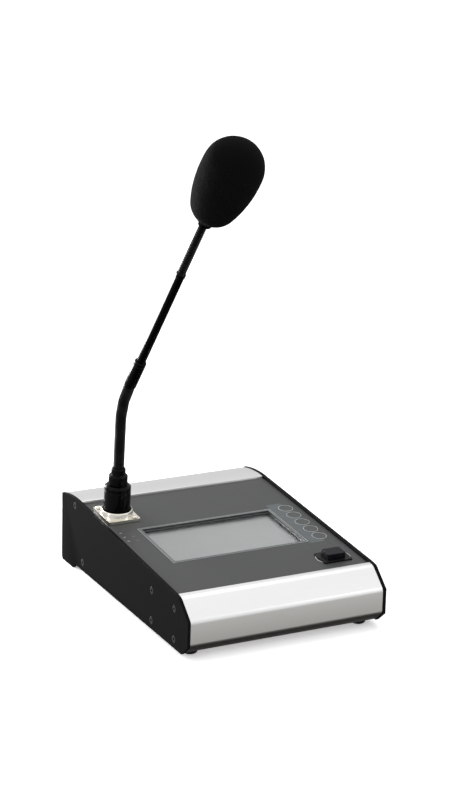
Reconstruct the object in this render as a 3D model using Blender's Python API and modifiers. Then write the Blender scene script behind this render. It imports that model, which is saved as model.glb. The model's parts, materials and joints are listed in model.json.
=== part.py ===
"""Desk paging microphone: a wedge-shaped console with a display, five round keys and a talk key,
and a plug-in gooseneck microphone with a foam windscreen.

The row frame: +Z up, +X to the talker's right, -Y towards the talker. The origin is on the table,
under the middle of the console. Depths are counted from the console's front edge."""

import math

import bmesh
import bpy
from mathutils import Matrix, Vector

MM = 0.001

# ---- Driving dimensions ----

# Console
BASE_WIDTH = 160 * MM
BASE_DEPTH = 223 * MM
PANEL_THICK = 2.3 * MM
FLOOR_HEIGHT = 4 * MM  # underside of the console above the table
GAP = 0.3 * MM  # between pieces that touch
PANEL_PROUD = 0.4 * MM  # the side panels stand out past the rails
FRONT_LOW = 12.2 * MM  # lower edge of the upright front face
FRONT_RISE = 19.2 * MM  # height of the upright front face
FRONT_CHAMFER = 9.5 * MM  # depth of the bevel under the front face
LIP_WIDTH = 6 * MM  # flat lip of the front rail, in front of the plate
LIP_DROP = 0.4 * MM  # fall of that lip below the plate's own slope
REAR_CROWN = 33.4 * MM  # depth of the rear rail's top
REAR_DROP = 3.0 * MM  # fall of the rear rail's top from its front to its back
REAR_SKIRT = 11 * MM  # height of the rear rail's back face
STAND_DEPTH = 21.6 * MM  # depth of the standing lip at the back of each side panel
STAND_SLANT = 4.7 * MM
RAIL_WALL = 2.2 * MM
LEDGE_WIDTH = 5 * MM  # of each rail, under the plate's edge
LEDGE_THICK = 2 * MM
FLOOR_THICK = 1.5 * MM
REAR_PANEL_THICK = 1.5 * MM

# Control plate
PLATE_FRONT = 21.5 * MM
PLATE_HEIGHT = 43.6 * MM
PLATE_SLOPE = math.radians(4.12)
PLATE_THICK = 1.5 * MM
PLATE_SUNK = 1.8 * MM  # below the rails and the side panels

# Screws through the side panels
SCREW_LOW = 10.5 * MM
SCREW_UNDER_PLATE = 10.1 * MM
SCREW_MIDDLE = 60 * MM
SCREW_REAR = 39.5 * MM
SCREW_CROWN = (24.5 * MM, 2.9 * MM)  # in front of the back edge, and below it
SCREW_HEAD = 2.75 * MM
SCREW_RIM = 0.3 * MM
SCREW_SHANK = 1.25 * MM
SCREW_LENGTH = 9 * MM
SCREW_SOCKET = 1.1 * MM
SCREW_SOCKET_DEPTH = 1.2 * MM
SCREW_PLAY = 0.35 * MM
BOSS = 3.5 * MM  # half the side of the block that a screw goes into

# Display
WINDOW_LEFT = 22.7 * MM  # plate edge to window
WINDOW_RIGHT = 26.1 * MM
WINDOW_FRONT = 51.7 * MM
WINDOW_REAR = 58.4 * MM
GLASS_LAP = 2.0 * MM  # the glass reaches this far under the plate
LIP_THICK = 0.8 * MM
GLASS_THICK = 1.1 * MM
DISPLAY_THICK = 6 * MM
HOLDER_WALL = 2.4 * MM

# Function keys, a column beside the window
KEY_SIDE = 11.3 * MM  # right edge of the plate to the keys' centres
KEY_FIRST = 4.3 * MM  # window's front edge to the first key
KEY_PITCH = 13.36 * MM
KEY_COUNT = 5
KEY_RADIUS = 5.2 * MM
KEY_PLAY = 0.35 * MM
KEY_STEM = 5 * MM
KEY_FLANGE = 0.8 * MM
KEY_TRAVEL = 0.5 * MM
BOARD_THICK = 1.6 * MM
KEY_BOARD_SIDE = 1.6 * MM  # board's clearance to the side panel
KEY_BOARD_END = 8 * MM

# Talk key
TALK_SIDE = 20.0 * MM
TALK_FRONT = 19.0 * MM
TALK_FRAME = (23.0 * MM, 17.4 * MM)
TALK_KEY = (14.7 * MM, 11.0 * MM)
TALK_RIM = 1.0 * MM
TALK_RISE = 5.2 * MM
TALK_KEY_DEPTH = 4 * MM
TALK_TRAVEL = 2.0 * MM
TALK_SPARE = 1.0 * MM  # under the pressed key
TALK_PLAY = 0.4 * MM
SWITCH_SIZE = (13 * MM, 12 * MM, 8 * MM)

# Status lights
LIGHT_SIDE = 5.5 * MM
LIGHT_BACK = 0.8 * MM  # window's rear edge to the last light
LIGHT_PITCH = 7.4 * MM
LIGHT_COUNT = 3
LIGHT_RADIUS = 1.1 * MM
LIGHT_BAR = (3.2 * MM, 3.0 * MM, 3 * MM)

# Microphone socket
SOCKET_SIDE = 15.6 * MM
SOCKET_REAR = 29.1 * MM
FLANGE = (26 * MM, 31 * MM)
FLANGE_THICK = 2.3 * MM
COLLAR_FOOT_WALL = 1.2 * MM
COLLAR_LIP_WALL = 0.7 * MM
MOUTH_PLAY = 1.15 * MM  # round the plug
MOUTH_HEIGHT = 6.4 * MM
CUP_STEP = 0.4 * MM  # the cup is wider than the mouth
CUP_WALL = 1.1 * MM
CUP_DEPTH = 18 * MM
FLANGE_SCREWS = ((9.5 * MM, -12 * MM), (-9.5 * MM, 12 * MM))
FLANGE_SCREW_HEAD = 2.3 * MM
FLANGE_SCREW_LENGTH = 7 * MM
CONTACT_INSET = 3.0 * MM  # contacts' circle inside the block's edge
CONTACT_PIN = 1.2 * MM
CONTACT_PLAY = 1.1 * MM  # block to the plug's bore
CONTACT_TOP = -2 * MM
TAB = (7 * MM, 1.8 * MM)
TAB_PLACE = 13.8 * MM
TAB_RISE = 1.2 * MM
TAB_TRAVEL = 1.0 * MM

# Microphone plug: radii, and heights over the plate
PLUG_RADIUS = 10.05 * MM
PLUG_WALL = 1.35 * MM
PLUG_TOP = 26.1 * MM
PLUG_SINK = 12 * MM
PLUG_INSERT_TOP = 6 * MM
PLUG_STEP = (7.3 * MM, 34.0 * MM)
PLUG_NECK = (5.5 * MM, 39.6 * MM)

# Gooseneck: straight out of the plug, one bend, and straight again
NECK_STRAIGHT = 36.4 * MM
BEND_RADIUS = 67 * MM
LEAN = math.radians(28.0)  # upper neck from upright
LEAN_TURN = math.radians(20)  # bend's plane from straight ahead, to the right
LOWER_PAST_BEND = 3.6 * MM
LOWER_RADIUS = 4.0 * MM
LOWER_LINKS = 5
LOWER_GAP = 2.8 * MM
FERRULE_LENGTH = 24.3 * MM
FERRULE_RADIUS = 4.6 * MM
FERRULE_SOCKET = 8 * MM
TUBE_LENGTH = 80.3 * MM  # shown between ferrule and ring
TUBE_RADIUS = 3.35 * MM
TUBE_BORE = 2.3 * MM
RING_LENGTH = 3 * MM
RING_WALL = 0.5 * MM
UPPER_LENGTH = 44 * MM
UPPER_RADIUS = 2.9 * MM
UPPER_LINKS = 3
UPPER_GAP = 2.4 * MM
LINK_END = 0.85  # share of its radius that a link keeps at its ends
LINK_SIDES = 16

# Microphone head
HEAD_TILT = math.radians(2.5)
HEAD_COLLAR = (4.5 * MM, 7 * MM)
HOUSING = (5.6 * MM, 27 * MM)
CAPSULE = (4.7 * MM, 9 * MM)
FOAM_START = 3.6 * MM
FOAM_NARROW = 16.6 * MM
FOAM_BROAD = 20.9 * MM
FOAM_SPAN = 32.9 * MM  # between the centres of its round ends
FOAM_SIDE = 90 * MM  # radius of the curve that its sides follow between the round ends
FOAM_PLAY = 0.4 * MM

# Rear connectors on the main board
BOARD_SIDE = 9.7 * MM  # board's clearance to each side panel
BOARD_DEPTH = 96 * MM
BOARD_HEIGHT = 15 * MM
JACK = (16 * MM, 18 * MM, 13.5 * MM)
JACK_MOUTH = (11.6 * MM, 13 * MM, 8 * MM)
JACK_PLACES = (-34 * MM, -12 * MM)
INLET = (10 * MM, 14 * MM, 11 * MM)
INLET_PLACE = 30 * MM
INLET_HOLE = 3.2 * MM
INLET_PIN = 1.0 * MM
INLET_DEPTH = 9 * MM
JACK_PROUD = 0.5 * MM

# Front feet
FOOT_SIDE = 9.2 * MM
FOOT_DEPTH = 19.2 * MM
FOOT_RADIUS = 5.5 * MM

# ---- Worked out from them ----

INNER_HALF = BASE_WIDTH / 2 - PANEL_THICK
RAIL_HALF = INNER_HALF - GAP
PLATE_BACK = BASE_DEPTH - REAR_CROWN
PLATE_LENGTH = (PLATE_BACK - PLATE_FRONT) / math.cos(PLATE_SLOPE)
EDGE_HEIGHT = PLATE_HEIGHT + PLATE_SUNK / math.cos(PLATE_SLOPE)
FRONT_HIGH = FRONT_LOW + FRONT_RISE
SHELL_LOW = FLOOR_HEIGHT + PANEL_PROUD
WEB_FRONT = PLATE_FRONT - BOSS
WEB_BACK = PLATE_FRONT + LEDGE_WIDTH

WINDOW_WIDTH = 2 * INNER_HALF - WINDOW_LEFT - WINDOW_RIGHT
WINDOW_DEPTH = PLATE_LENGTH - WINDOW_FRONT - WINDOW_REAR
WINDOW_CENTRE = ((WINDOW_LEFT - WINDOW_RIGHT) / 2, WINDOW_FRONT + WINDOW_DEPTH / 2)
BEZEL_TOP = -PLATE_THICK - GAP
GLASS_TOP = BEZEL_TOP - LIP_THICK - GAP
DISPLAY_TOP = GLASS_TOP - GLASS_THICK - GAP

KEY_X = INNER_HALF - KEY_SIDE
KEY_PLACES = [(KEY_X, WINDOW_FRONT + KEY_FIRST + i * KEY_PITCH) for i in range(KEY_COUNT)]
TALK_PLACE = (INNER_HALF - TALK_SIDE, TALK_FRONT)
LIGHT_X = LIGHT_SIDE - INNER_HALF
LIGHT_LAST = WINDOW_FRONT + WINDOW_DEPTH - LIGHT_BACK
LIGHT_PLACES = [(LIGHT_X, LIGHT_LAST - i * LIGHT_PITCH) for i in range(LIGHT_COUNT)]
SOCKET_PLACE = (SOCKET_SIDE - INNER_HALF, PLATE_LENGTH - SOCKET_REAR)
PLUG_BORE = PLUG_RADIUS - PLUG_WALL
MOUTH_RADIUS = PLUG_RADIUS + MOUTH_PLAY
COLLAR_FOOT = MOUTH_RADIUS + COLLAR_FOOT_WALL
COLLAR_LIP = MOUTH_RADIUS + COLLAR_LIP_WALL
CUP_RADIUS = MOUTH_RADIUS + CUP_STEP
CONTACT_BLOCK = PLUG_BORE - CONTACT_PLAY
CONTACT_CIRCLE = CONTACT_BLOCK - CONTACT_INSET
TALK_DEPTH = TALK_KEY_DEPTH + TALK_TRAVEL + TALK_SPARE
FLANGE_BOTTOM = GAP
FLANGE_TOP = GAP + FLANGE_THICK


def plate_line(depth):
    """Height of the side panels' top edge at a depth, along the plate."""
    return EDGE_HEIGHT + (depth - PLATE_FRONT) * math.tan(PLATE_SLOPE)


REAR_TOP = plate_line(PLATE_BACK) - REAR_DROP
SIDE_SCREWS = (
    (PLATE_FRONT + BOSS / 3, PLATE_HEIGHT - SCREW_UNDER_PLATE),
    (PLATE_FRONT + BOSS / 3, SCREW_LOW),
    (SCREW_MIDDLE, PLATE_HEIGHT - SCREW_UNDER_PLATE),
    (SCREW_MIDDLE, SCREW_LOW),
    (BASE_DEPTH - SCREW_REAR, SCREW_LOW),
    (BASE_DEPTH - SCREW_CROWN[0], REAR_TOP - SCREW_CROWN[1]),
)

# ---- Scene, materials and places ----

for old in list(bpy.data.objects):
    bpy.data.objects.remove(old)


def collection(name, hidden=False):
    made = bpy.data.collections.new(name)
    made.hide_render = hidden
    bpy.context.scene.collection.children.link(made)
    return made


PARTS = collection("gooseneck_podium_microphone")
CUTTERS = collection("cutters", hidden=True)


def material(name, colour, roughness, metallic=0.0):
    made = bpy.data.materials.new(name)
    made.use_nodes = True
    shader = made.node_tree.nodes["Principled BSDF"]
    shader.inputs["Base Color"].default_value = (*colour, 1)
    shader.inputs["Roughness"].default_value = roughness
    shader.inputs["Metallic"].default_value = metallic
    made.diffuse_color = (*colour, 1)
    return made


BLACK_PANEL = material("black_powder_coat", (0.03, 0.03, 0.032), 0.45)
GREY_PLATE = material("grey_satin_plate", (0.09, 0.092, 0.09), 0.4, 0.3)
ALUMINIUM = material("satin_aluminium", (0.75, 0.76, 0.75), 0.32, 0.9)
NICKEL = material("nickel", (0.72, 0.7, 0.66), 0.25, 1.0)
STEEL = material("zinc_steel", (0.6, 0.6, 0.62), 0.4, 1.0)
BLACK_SCREW = material("black_screw", (0.04, 0.04, 0.04), 0.3, 0.6)
BLACK_PLASTIC = material("black_plastic", (0.02, 0.02, 0.022), 0.4)
TALK_PLASTIC = material("talk_key_plastic", (0.012, 0.013, 0.018), 0.45)
KEY_GREY = material("key_grey", (0.08, 0.083, 0.082), 0.45)
DISPLAY_GREY = material("display_grey", (0.36, 0.38, 0.37), 0.25)
GLASS = material("touch_glass", (0.5, 0.52, 0.52), 0.05)
BOARD_GREEN = material("circuit_board", (0.02, 0.12, 0.05), 0.5)
LIGHT_PIPE = material("light_pipe", (0.7, 0.72, 0.7), 0.3)
MIC_BLACK = material("microphone_black", (0.015, 0.015, 0.016), 0.35, 0.4)
FLEX_BLACK = material("flexible_neck", (0.012, 0.012, 0.013), 0.5, 0.2)
FOAM = material("foam", (0.008, 0.008, 0.009), 0.95)
RUBBER = material("rubber", (0.015, 0.015, 0.015), 0.8)

SEATS = {}


def seat(name, frame, parent=None):
    """An empty at a world frame, that pieces or other empties are parented to."""
    made = bpy.data.objects.new(name, None)
    made.empty_display_size = 5 * MM
    PARTS.objects.link(made)
    made.parent = parent
    made.matrix_basis = SEATS[parent.name].inverted() @ frame if parent else frame
    SEATS[name] = frame
    return made


def framed(origin, x_axis, y_axis, z_axis):
    turned_to = Matrix((x_axis, y_axis, z_axis)).transposed().to_4x4()
    return Matrix.Translation(origin) @ turned_to


UP = Vector((0, 0, 1))
PLATE_NORMAL = Vector((0, -math.sin(PLATE_SLOPE), math.cos(PLATE_SLOPE)))
DESK = seat("console", Matrix.Translation((0, -BASE_DEPTH / 2, 0)))
PLATE = seat(
    "control_plane",
    Matrix.Translation((0, PLATE_FRONT - BASE_DEPTH / 2, PLATE_HEIGHT))
    @ Matrix.Rotation(PLATE_SLOPE, 4, "X"),
    DESK,
)
SOCKET = seat("socket_axis", SEATS["control_plane"] @ Matrix.Translation((*SOCKET_PLACE, 0)), PLATE)


# ---- Shapes ----


def put(obj, finish, parent, place=(0, 0, 0), turn=(0, 0, 0)):
    """Gives a shape its finish and its place under an empty."""
    PARTS.objects.link(obj)
    obj.data.materials.append(finish)
    obj.parent = parent
    obj.location = place
    obj.rotation_euler = turn
    return obj


def mesh_object(name, made):
    mesh = bpy.data.meshes.new(name)
    made.to_mesh(mesh)
    made.free()
    return bpy.data.objects.new(name, mesh)


def block(name, size, centre=(0, 0, 0)):
    made = bmesh.new()
    bmesh.ops.create_cube(made, size=1)
    bmesh.ops.scale(made, vec=size, verts=made.verts)
    bmesh.ops.translate(made, vec=centre, verts=made.verts)
    return mesh_object(name, made)


def turned(name, profile, closed=False, segments=32):
    """A profile of (radius, height) points, which runs down the outside, turned round Z."""
    mesh = bpy.data.meshes.new(name)
    points = [(radius, 0, height) for radius, height in profile]
    edges = [(i, i + 1) for i in range(len(points) - 1)]
    if closed:
        edges.append((len(points) - 1, 0))
    mesh.from_pydata(points, edges, [])
    obj = bpy.data.objects.new(name, mesh)
    spin = obj.modifiers.new("turn", "SCREW")
    spin.steps = segments
    spin.render_steps = segments
    spin.use_merge_vertices = True
    spin.merge_threshold = 0.00001
    return obj


def flat(name, loops, thickness):
    """A sheet in XY, its middle at height 0. The first loop is its edge, the others are holes."""
    curve = bpy.data.curves.new(name, "CURVE")
    curve.dimensions = "2D"
    curve.fill_mode = "BOTH"
    curve.extrude = thickness / 2
    for loop in loops:
        spline = curve.splines.new("POLY")
        spline.points.add(len(loop) - 1)
        for point, (x, y) in zip(spline.points, loop):
            point.co = (x, y, 0, 1)
        spline.use_cyclic_u = True
    return bpy.data.objects.new(name, curve)


def meshed(curve_object):
    """The same shape as a welded mesh, which can be cut."""
    bpy.context.scene.collection.objects.link(curve_object)
    graph = bpy.context.evaluated_depsgraph_get()
    mesh = bpy.data.meshes.new_from_object(curve_object.evaluated_get(graph))
    name = curve_object.name
    bpy.data.objects.remove(curve_object)
    made = bmesh.new()
    made.from_mesh(mesh)
    bpy.data.meshes.remove(mesh)
    bmesh.ops.remove_doubles(made, verts=made.verts, dist=0.001 * MM)
    return mesh_object(name, made)


def circle(x, y, radius, count=16):
    steps = [2 * math.pi * i / count for i in range(count)]
    return [(x + radius * math.cos(a), y + radius * math.sin(a)) for a in steps]


def rectangle(x, y, width, height, corner=0.0, steps=3):
    """A rectangle's outline about (x, y), with round corners of the given radius."""
    corners = ((1, 1, 0), (-1, 1, 90), (-1, -1, 180), (1, -1, 270))
    loop = []
    for side_x, side_y, start in corners:
        corner_x = x + side_x * (width / 2 - corner)
        corner_y = y + side_y * (height / 2 - corner)
        if corner == 0:
            loop.append((corner_x, corner_y))
            continue
        for i in range(steps + 1):
            a = math.radians(start + 90 * i / steps)
            loop.append((corner_x + corner * math.cos(a), corner_y + corner * math.sin(a)))
    return loop


def inset(loop, distance):
    """A counter-clockwise outline drawn in by a distance."""
    points = [Vector(p) for p in loop]
    found = []
    for before, here, after in zip(points[-1:] + points[:-1], points, points[1:] + points[:1]):
        inward_a = (here - before).normalized().orthogonal()
        inward_b = (after - here).normalized().orthogonal()
        shift = (inward_a + inward_b) / (1 + inward_a.dot(inward_b))
        found.append(tuple(here + shift * distance))
    return found


def boolean(obj, operation, other):
    """Cuts from obj, or joins to it, a helper shape."""
    CUTTERS.objects.link(other)
    other.hide_render = True
    other.display_type = "WIRE"
    change = obj.modifiers.new(other.name, "BOOLEAN")
    change.operation = operation
    change.object = other
    return obj


def helper(obj, parent, place=(0, 0, 0), turn=(0, 0, 0)):
    obj.parent = parent
    obj.location = place
    obj.rotation_euler = turn
    return obj


# ---- Console ----

SIDEWAYS = (math.pi / 2, 0, math.pi / 2)  # turns a sheet's outline to depth and height


def crown(count=8):
    """The round top of the console behind the plate, front to back."""
    start = Vector((PLATE_BACK, plate_line(PLATE_BACK)))
    chord = Vector((BASE_DEPTH, REAR_TOP)) - start
    half_turn = PLATE_SLOPE - math.atan2(chord.y, chord.x)
    radius = chord.length / (2 * math.sin(half_turn))
    centre = start + radius * Vector((math.sin(PLATE_SLOPE), -math.cos(PLATE_SLOPE)))
    angles = [math.pi / 2 + PLATE_SLOPE - 2 * half_turn * i / count for i in range(count + 1)]
    return [(centre.x + radius * math.cos(a), centre.y + radius * math.sin(a)) for a in angles]


def side_outline():
    """A side panel's edge in (depth, height), counter-clockwise."""
    crease = (PLATE_FRONT - LIP_WIDTH, plate_line(PLATE_FRONT - LIP_WIDTH) - LIP_DROP)
    stand = BASE_DEPTH - STAND_DEPTH
    floor = [
        (FRONT_CHAMFER, FLOOR_HEIGHT),
        (stand - STAND_SLANT, FLOOR_HEIGHT),
        (stand, 0),
        (BASE_DEPTH - 1.5 * MM, 0),
        (BASE_DEPTH, 1.5 * MM),
    ]
    top = crown()[::-1] + [(PLATE_FRONT, EDGE_HEIGHT), crease]
    return floor + top + [(0, FRONT_HIGH), (0, FRONT_LOW)]


def screw_profile(play=0.0, top=0.0, length=SCREW_LENGTH):
    """Outline of a countersunk screw, or of the hole for it."""
    head, shank = SCREW_HEAD + play, SCREW_SHANK + play
    cone_end = -SCREW_RIM - (SCREW_HEAD - SCREW_SHANK)
    return [(head, top), (head, -SCREW_RIM), (shank, cone_end), (shank, -length), (0, -length)]


def side_panel(name, side):
    panel = meshed(flat(name, [side_outline()], PANEL_THICK))
    put(panel, BLACK_PANEL, DESK, (side * (BASE_WIDTH - PANEL_THICK) / 2, 0, 0), SIDEWAYS)
    for number, (depth, height) in enumerate(SIDE_SCREWS, 1):
        profile = [(0, MM), *screw_profile(SCREW_PLAY, MM, PANEL_THICK + MM)]
        cutter = turned(f"{name}_countersink_{number}", profile, segments=16)
        place = (side * BASE_WIDTH / 2, depth, height)
        helper(cutter, DESK, place, (0, side * math.pi / 2, 0))
        boolean(panel, "DIFFERENCE", cutter)


def side_screw(name, side, depth, height):
    recess = [(0, -SCREW_SOCKET_DEPTH), (SCREW_SOCKET, -SCREW_SOCKET_DEPTH), (SCREW_SOCKET, 0)]
    screw = turned(name, recess + screw_profile(), segments=12)
    place = (side * BASE_WIDTH / 2, depth, height)
    put(screw, BLACK_SCREW, DESK, place, (0, side * math.pi / 2, 0))


def screw_hole(depth, height):
    return circle(depth, height, SCREW_SHANK + SCREW_PLAY, 12)


def ledge_under_plate(depth):
    """Height of the top of a rail's ledge, just under the plate."""
    plate_top = PLATE_HEIGHT + (depth - PLATE_FRONT) * math.tan(PLATE_SLOPE)
    return plate_top - (PLATE_THICK + GAP) / math.cos(PLATE_SLOPE)


def rail(name, loops):
    put(flat(name, loops, 2 * RAIL_HALF), ALUMINIUM, DESK, (0, 0, 0), SIDEWAYS)


def front_rail():
    """A hollow extrusion: chamfer, upright face, steep slope and lip, closed by a web at its back."""
    shell = inset(side_outline(), PANEL_PROUD)
    lip, crease, brow, chin, chamfer = *shell[-4:], shell[0]
    outer = [
        chamfer,
        (WEB_BACK, SHELL_LOW),
        (WEB_BACK, ledge_under_plate(WEB_BACK)),
        (PLATE_FRONT - GAP, ledge_under_plate(PLATE_FRONT - GAP)),
        (PLATE_FRONT - GAP, lip[1]),
        crease,
        brow,
        chin,
    ]
    wall = inset(outer, RAIL_WALL)
    hollow = [
        wall[0],
        (WEB_FRONT, SHELL_LOW + RAIL_WALL),
        (WEB_FRONT, wall[5][1] - RAIL_WALL),
        (wall[5][0], wall[5][1] - RAIL_WALL / 2),
        wall[6],
        wall[7],
    ]
    rail("front_rail", [outer, hollow, screw_hole(*SIDE_SCREWS[0]), screw_hole(*SIDE_SCREWS[1])])


def rear_rail():
    """The round top behind the plate, with a lip and a ledge at its front and a skirt at its back."""
    shell = inset(side_outline(), PANEL_PROUD)
    top = [p for p in shell if p[0] > PLATE_BACK + GAP and p[1] > REAR_TOP - MM]
    front = PLATE_BACK + GAP
    lip_top = plate_line(front) - PANEL_PROUD
    back = BASE_DEPTH - PANEL_PROUD
    depth, height = SIDE_SCREWS[5]
    under = depth + BOSS
    outline = [
        (back - RAIL_WALL, REAR_TOP - REAR_SKIRT),
        (back, REAR_TOP - REAR_SKIRT),
        *top,
        (front, lip_top),
        (front, ledge_under_plate(front)),
        (front - LEDGE_WIDTH, ledge_under_plate(front - LEDGE_WIDTH)),
        (front - LEDGE_WIDTH, ledge_under_plate(front - LEDGE_WIDTH) - LEDGE_THICK),
        (depth - BOSS, ledge_under_plate(depth - BOSS) - LEDGE_THICK),
        (depth - BOSS, height - BOSS),
        (under, height - BOSS),
        (under, REAR_TOP - RAIL_WALL),
        (back - RAIL_WALL, REAR_TOP - RAIL_WALL - MM),
    ]
    rail("rear_rail", [outline, screw_hole(depth, height)])


def bottom_plate():
    """The floor: an extrusion with a strut for the middle screws and a block for the rear ones."""
    upper, lower, rear = SIDE_SCREWS[2:5]
    top = SHELL_LOW + FLOOR_THICK
    web = upper[0] - BOSS + FLOOR_THICK
    outline = [
        (WEB_BACK + GAP, SHELL_LOW),
        (BASE_DEPTH - PANEL_PROUD - RAIL_WALL, SHELL_LOW),
        (BASE_DEPTH - PANEL_PROUD - RAIL_WALL, top),
        (rear[0] + BOSS, top),
        (rear[0] + BOSS, rear[1] + BOSS),
        (rear[0] - BOSS, rear[1] + BOSS),
        (rear[0] - BOSS, top),
        (lower[0] + BOSS, top),
        (lower[0] + BOSS, lower[1] + BOSS),
        (web, lower[1] + BOSS),
        (web, upper[1] - BOSS),
        (upper[0] + BOSS, upper[1] - BOSS),
        (upper[0] + BOSS, upper[1] + BOSS),
        (upper[0] - BOSS, upper[1] + BOSS),
        (upper[0] - BOSS, top),
        (WEB_BACK + GAP, top),
    ]
    loops = [outline, *[screw_hole(*screw) for screw in (upper, lower, rear)]]
    put(flat("bottom_plate", loops, 2 * RAIL_HALF), BLACK_PANEL, DESK, (0, 0, 0), SIDEWAYS)


JACK_BOTTOM = BOARD_HEIGHT + BOARD_THICK + GAP
REAR_FACE = BASE_DEPTH - PANEL_PROUD - RAIL_WALL - GAP
REAR_PANEL_LOW = SHELL_LOW + FLOOR_THICK + GAP


def rear_panel():
    """The connector panel, inside the rear rail's skirt."""
    top = REAR_TOP - REAR_SKIRT + BOSS
    middle = (REAR_PANEL_LOW + top) / 2
    loops = [rectangle(0, middle, 2 * RAIL_HALF, top - REAR_PANEL_LOW)]
    for x in JACK_PLACES:
        height = JACK_BOTTOM + JACK[2] / 2
        loops.append(rectangle(x, height, JACK[0] + 2 * GAP, JACK[2] + 2 * GAP))
    height = JACK_BOTTOM + INLET[2] / 2
    loops.append(rectangle(INLET_PLACE, height, INLET[0] + 2 * GAP, INLET[2] + 2 * GAP))
    panel = flat("rear_panel", loops, REAR_PANEL_THICK)
    put(panel, BLACK_PANEL, DESK, (0, REAR_FACE - REAR_PANEL_THICK / 2, 0), (math.pi / 2, 0, 0))


def front_foot(name, side):
    radius, top = FOOT_RADIUS, SHELL_LOW - GAP
    profile = [(0, top), (radius, top), (radius, top / 3), (radius - MM, 0), (0, 0)]
    foot = turned(name, profile, segments=24)
    put(foot, RUBBER, DESK, (side * (INNER_HALF - FOOT_SIDE), FOOT_DEPTH, 0))


# ---- Boards and connectors ----


def main_board():
    size = (2 * (INNER_HALF - BOARD_SIDE), BOARD_DEPTH, BOARD_THICK)
    middle = REAR_FACE - REAR_PANEL_THICK - GAP - BOARD_DEPTH / 2
    board = block("main_board", size)
    put(board, BOARD_GREEN, DESK, (0, middle, BOARD_HEIGHT + BOARD_THICK / 2))


def network_jack(name, x):
    middle = REAR_FACE + JACK_PROUD - JACK[1] / 2
    jack = block(name, JACK)
    put(jack, STEEL, DESK, (x, middle, JACK_BOTTOM + JACK[2] / 2))
    mouth_centre = (0, (JACK[1] - JACK_MOUTH[1] + MM) / 2, 0)
    mouth = block(name + "_mouth", (JACK_MOUTH[0], JACK_MOUTH[1] + MM, JACK_MOUTH[2]), mouth_centre)
    boolean(jack, "DIFFERENCE", helper(mouth, jack))


def power_inlet():
    """A barrel socket: a round hole that leaves its pin standing."""
    middle = REAR_FACE + JACK_PROUD - INLET[1] / 2
    inlet = block("power_inlet", INLET)
    put(inlet, BLACK_PLASTIC, DESK, (INLET_PLACE, middle, JACK_BOTTOM + INLET[2] / 2))
    top, bottom = INLET[1] / 2 + MM, INLET[1] / 2 - INLET_DEPTH
    ring = [(INLET_HOLE, top), (INLET_HOLE, bottom), (INLET_PIN, bottom), (INLET_PIN, top)]
    hole = turned("power_inlet_hole", ring, closed=True, segments=16)
    boolean(inlet, "DIFFERENCE", helper(hole, inlet, turn=(-math.pi / 2, 0, 0)))


# ---- Control plate and what it carries ----


def cap_outline(place, size, play=0.0, corner=MM):
    return rectangle(*place, size[0] + 2 * play, size[1] + 2 * play, corner)


def top_plate():
    middle = (0, PLATE_LENGTH / 2)
    edge = rectangle(*middle, 2 * RAIL_HALF, PLATE_LENGTH - 2 * GAP)
    window = rectangle(*WINDOW_CENTRE, WINDOW_WIDTH, WINDOW_DEPTH, MM)
    loops = [edge, window, cap_outline(TALK_PLACE, TALK_FRAME, GAP)]
    loops += [circle(*place, KEY_RADIUS + KEY_PLAY, 24) for place in KEY_PLACES]
    loops += [circle(*place, LIGHT_RADIUS + GAP, 12) for place in LIGHT_PLACES]
    loops.append(circle(*SOCKET_PLACE, CUP_RADIUS + GAP, 32))
    for x, s in FLANGE_SCREWS:
        loops.append(screw_hole(SOCKET_PLACE[0] + x, SOCKET_PLACE[1] + s))
    put(flat("top_plate", loops, PLATE_THICK), GREY_PLATE, PLATE, (0, 0, -PLATE_THICK / 2))


def window_slab(name, finish, lap, top, thickness):
    slab = block(name, (WINDOW_WIDTH + 2 * lap, WINDOW_DEPTH + 2 * lap, thickness))
    put(slab, finish, PLATE, (*WINDOW_CENTRE, top - thickness / 2))


def display_bezel():
    """The frame under the plate that holds the glass and the display, with a lip over the glass."""
    outer = GLASS_LAP + GAP + HOLDER_WALL
    edge = rectangle(0, 0, WINDOW_WIDTH + 2 * outer, WINDOW_DEPTH + 2 * outer, MM)
    opening = rectangle(0, 0, WINDOW_WIDTH + 2 * GAP, WINDOW_DEPTH + 2 * GAP, MM)
    depth = LIP_THICK + GLASS_THICK + DISPLAY_THICK + 2 * GAP
    bezel = meshed(flat("display_bezel", [edge, opening], depth))
    put(bezel, BLACK_PLASTIC, PLATE, (*WINDOW_CENTRE, BEZEL_TOP - depth / 2))
    pocket_lap = GLASS_LAP + GAP
    size = (WINDOW_WIDTH + 2 * pocket_lap, WINDOW_DEPTH + 2 * pocket_lap, depth)
    pocket = block("display_pocket", size)
    boolean(bezel, "DIFFERENCE", helper(pocket, bezel, (0, 0, -LIP_THICK)))


def display():
    display_bezel()
    window_slab("touch_glass", GLASS, GLASS_LAP, GLASS_TOP, GLASS_THICK)
    window_slab("display_module", DISPLAY_GREY, GLASS_LAP, DISPLAY_TOP, DISPLAY_THICK)


def function_key(name, place):
    """A round cap with a flange that the plate keeps in."""
    flange_top = -PLATE_THICK - GAP
    rim = KEY_RADIUS + KEY_PLAY + KEY_FLANGE
    profile = [
        (0, 0.2 * MM),
        (KEY_RADIUS - 0.3 * MM, 0.2 * MM),
        (KEY_RADIUS, 0),
        (KEY_RADIUS, flange_top),
        (rim, flange_top),
        (rim, flange_top - KEY_FLANGE),
        (KEY_RADIUS / 2, flange_top - KEY_FLANGE),
        (KEY_RADIUS / 2, -KEY_STEM),
        (0, -KEY_STEM),
    ]
    put(turned(name, profile, segments=24), KEY_GREY, PLATE, (*place, 0))


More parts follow.
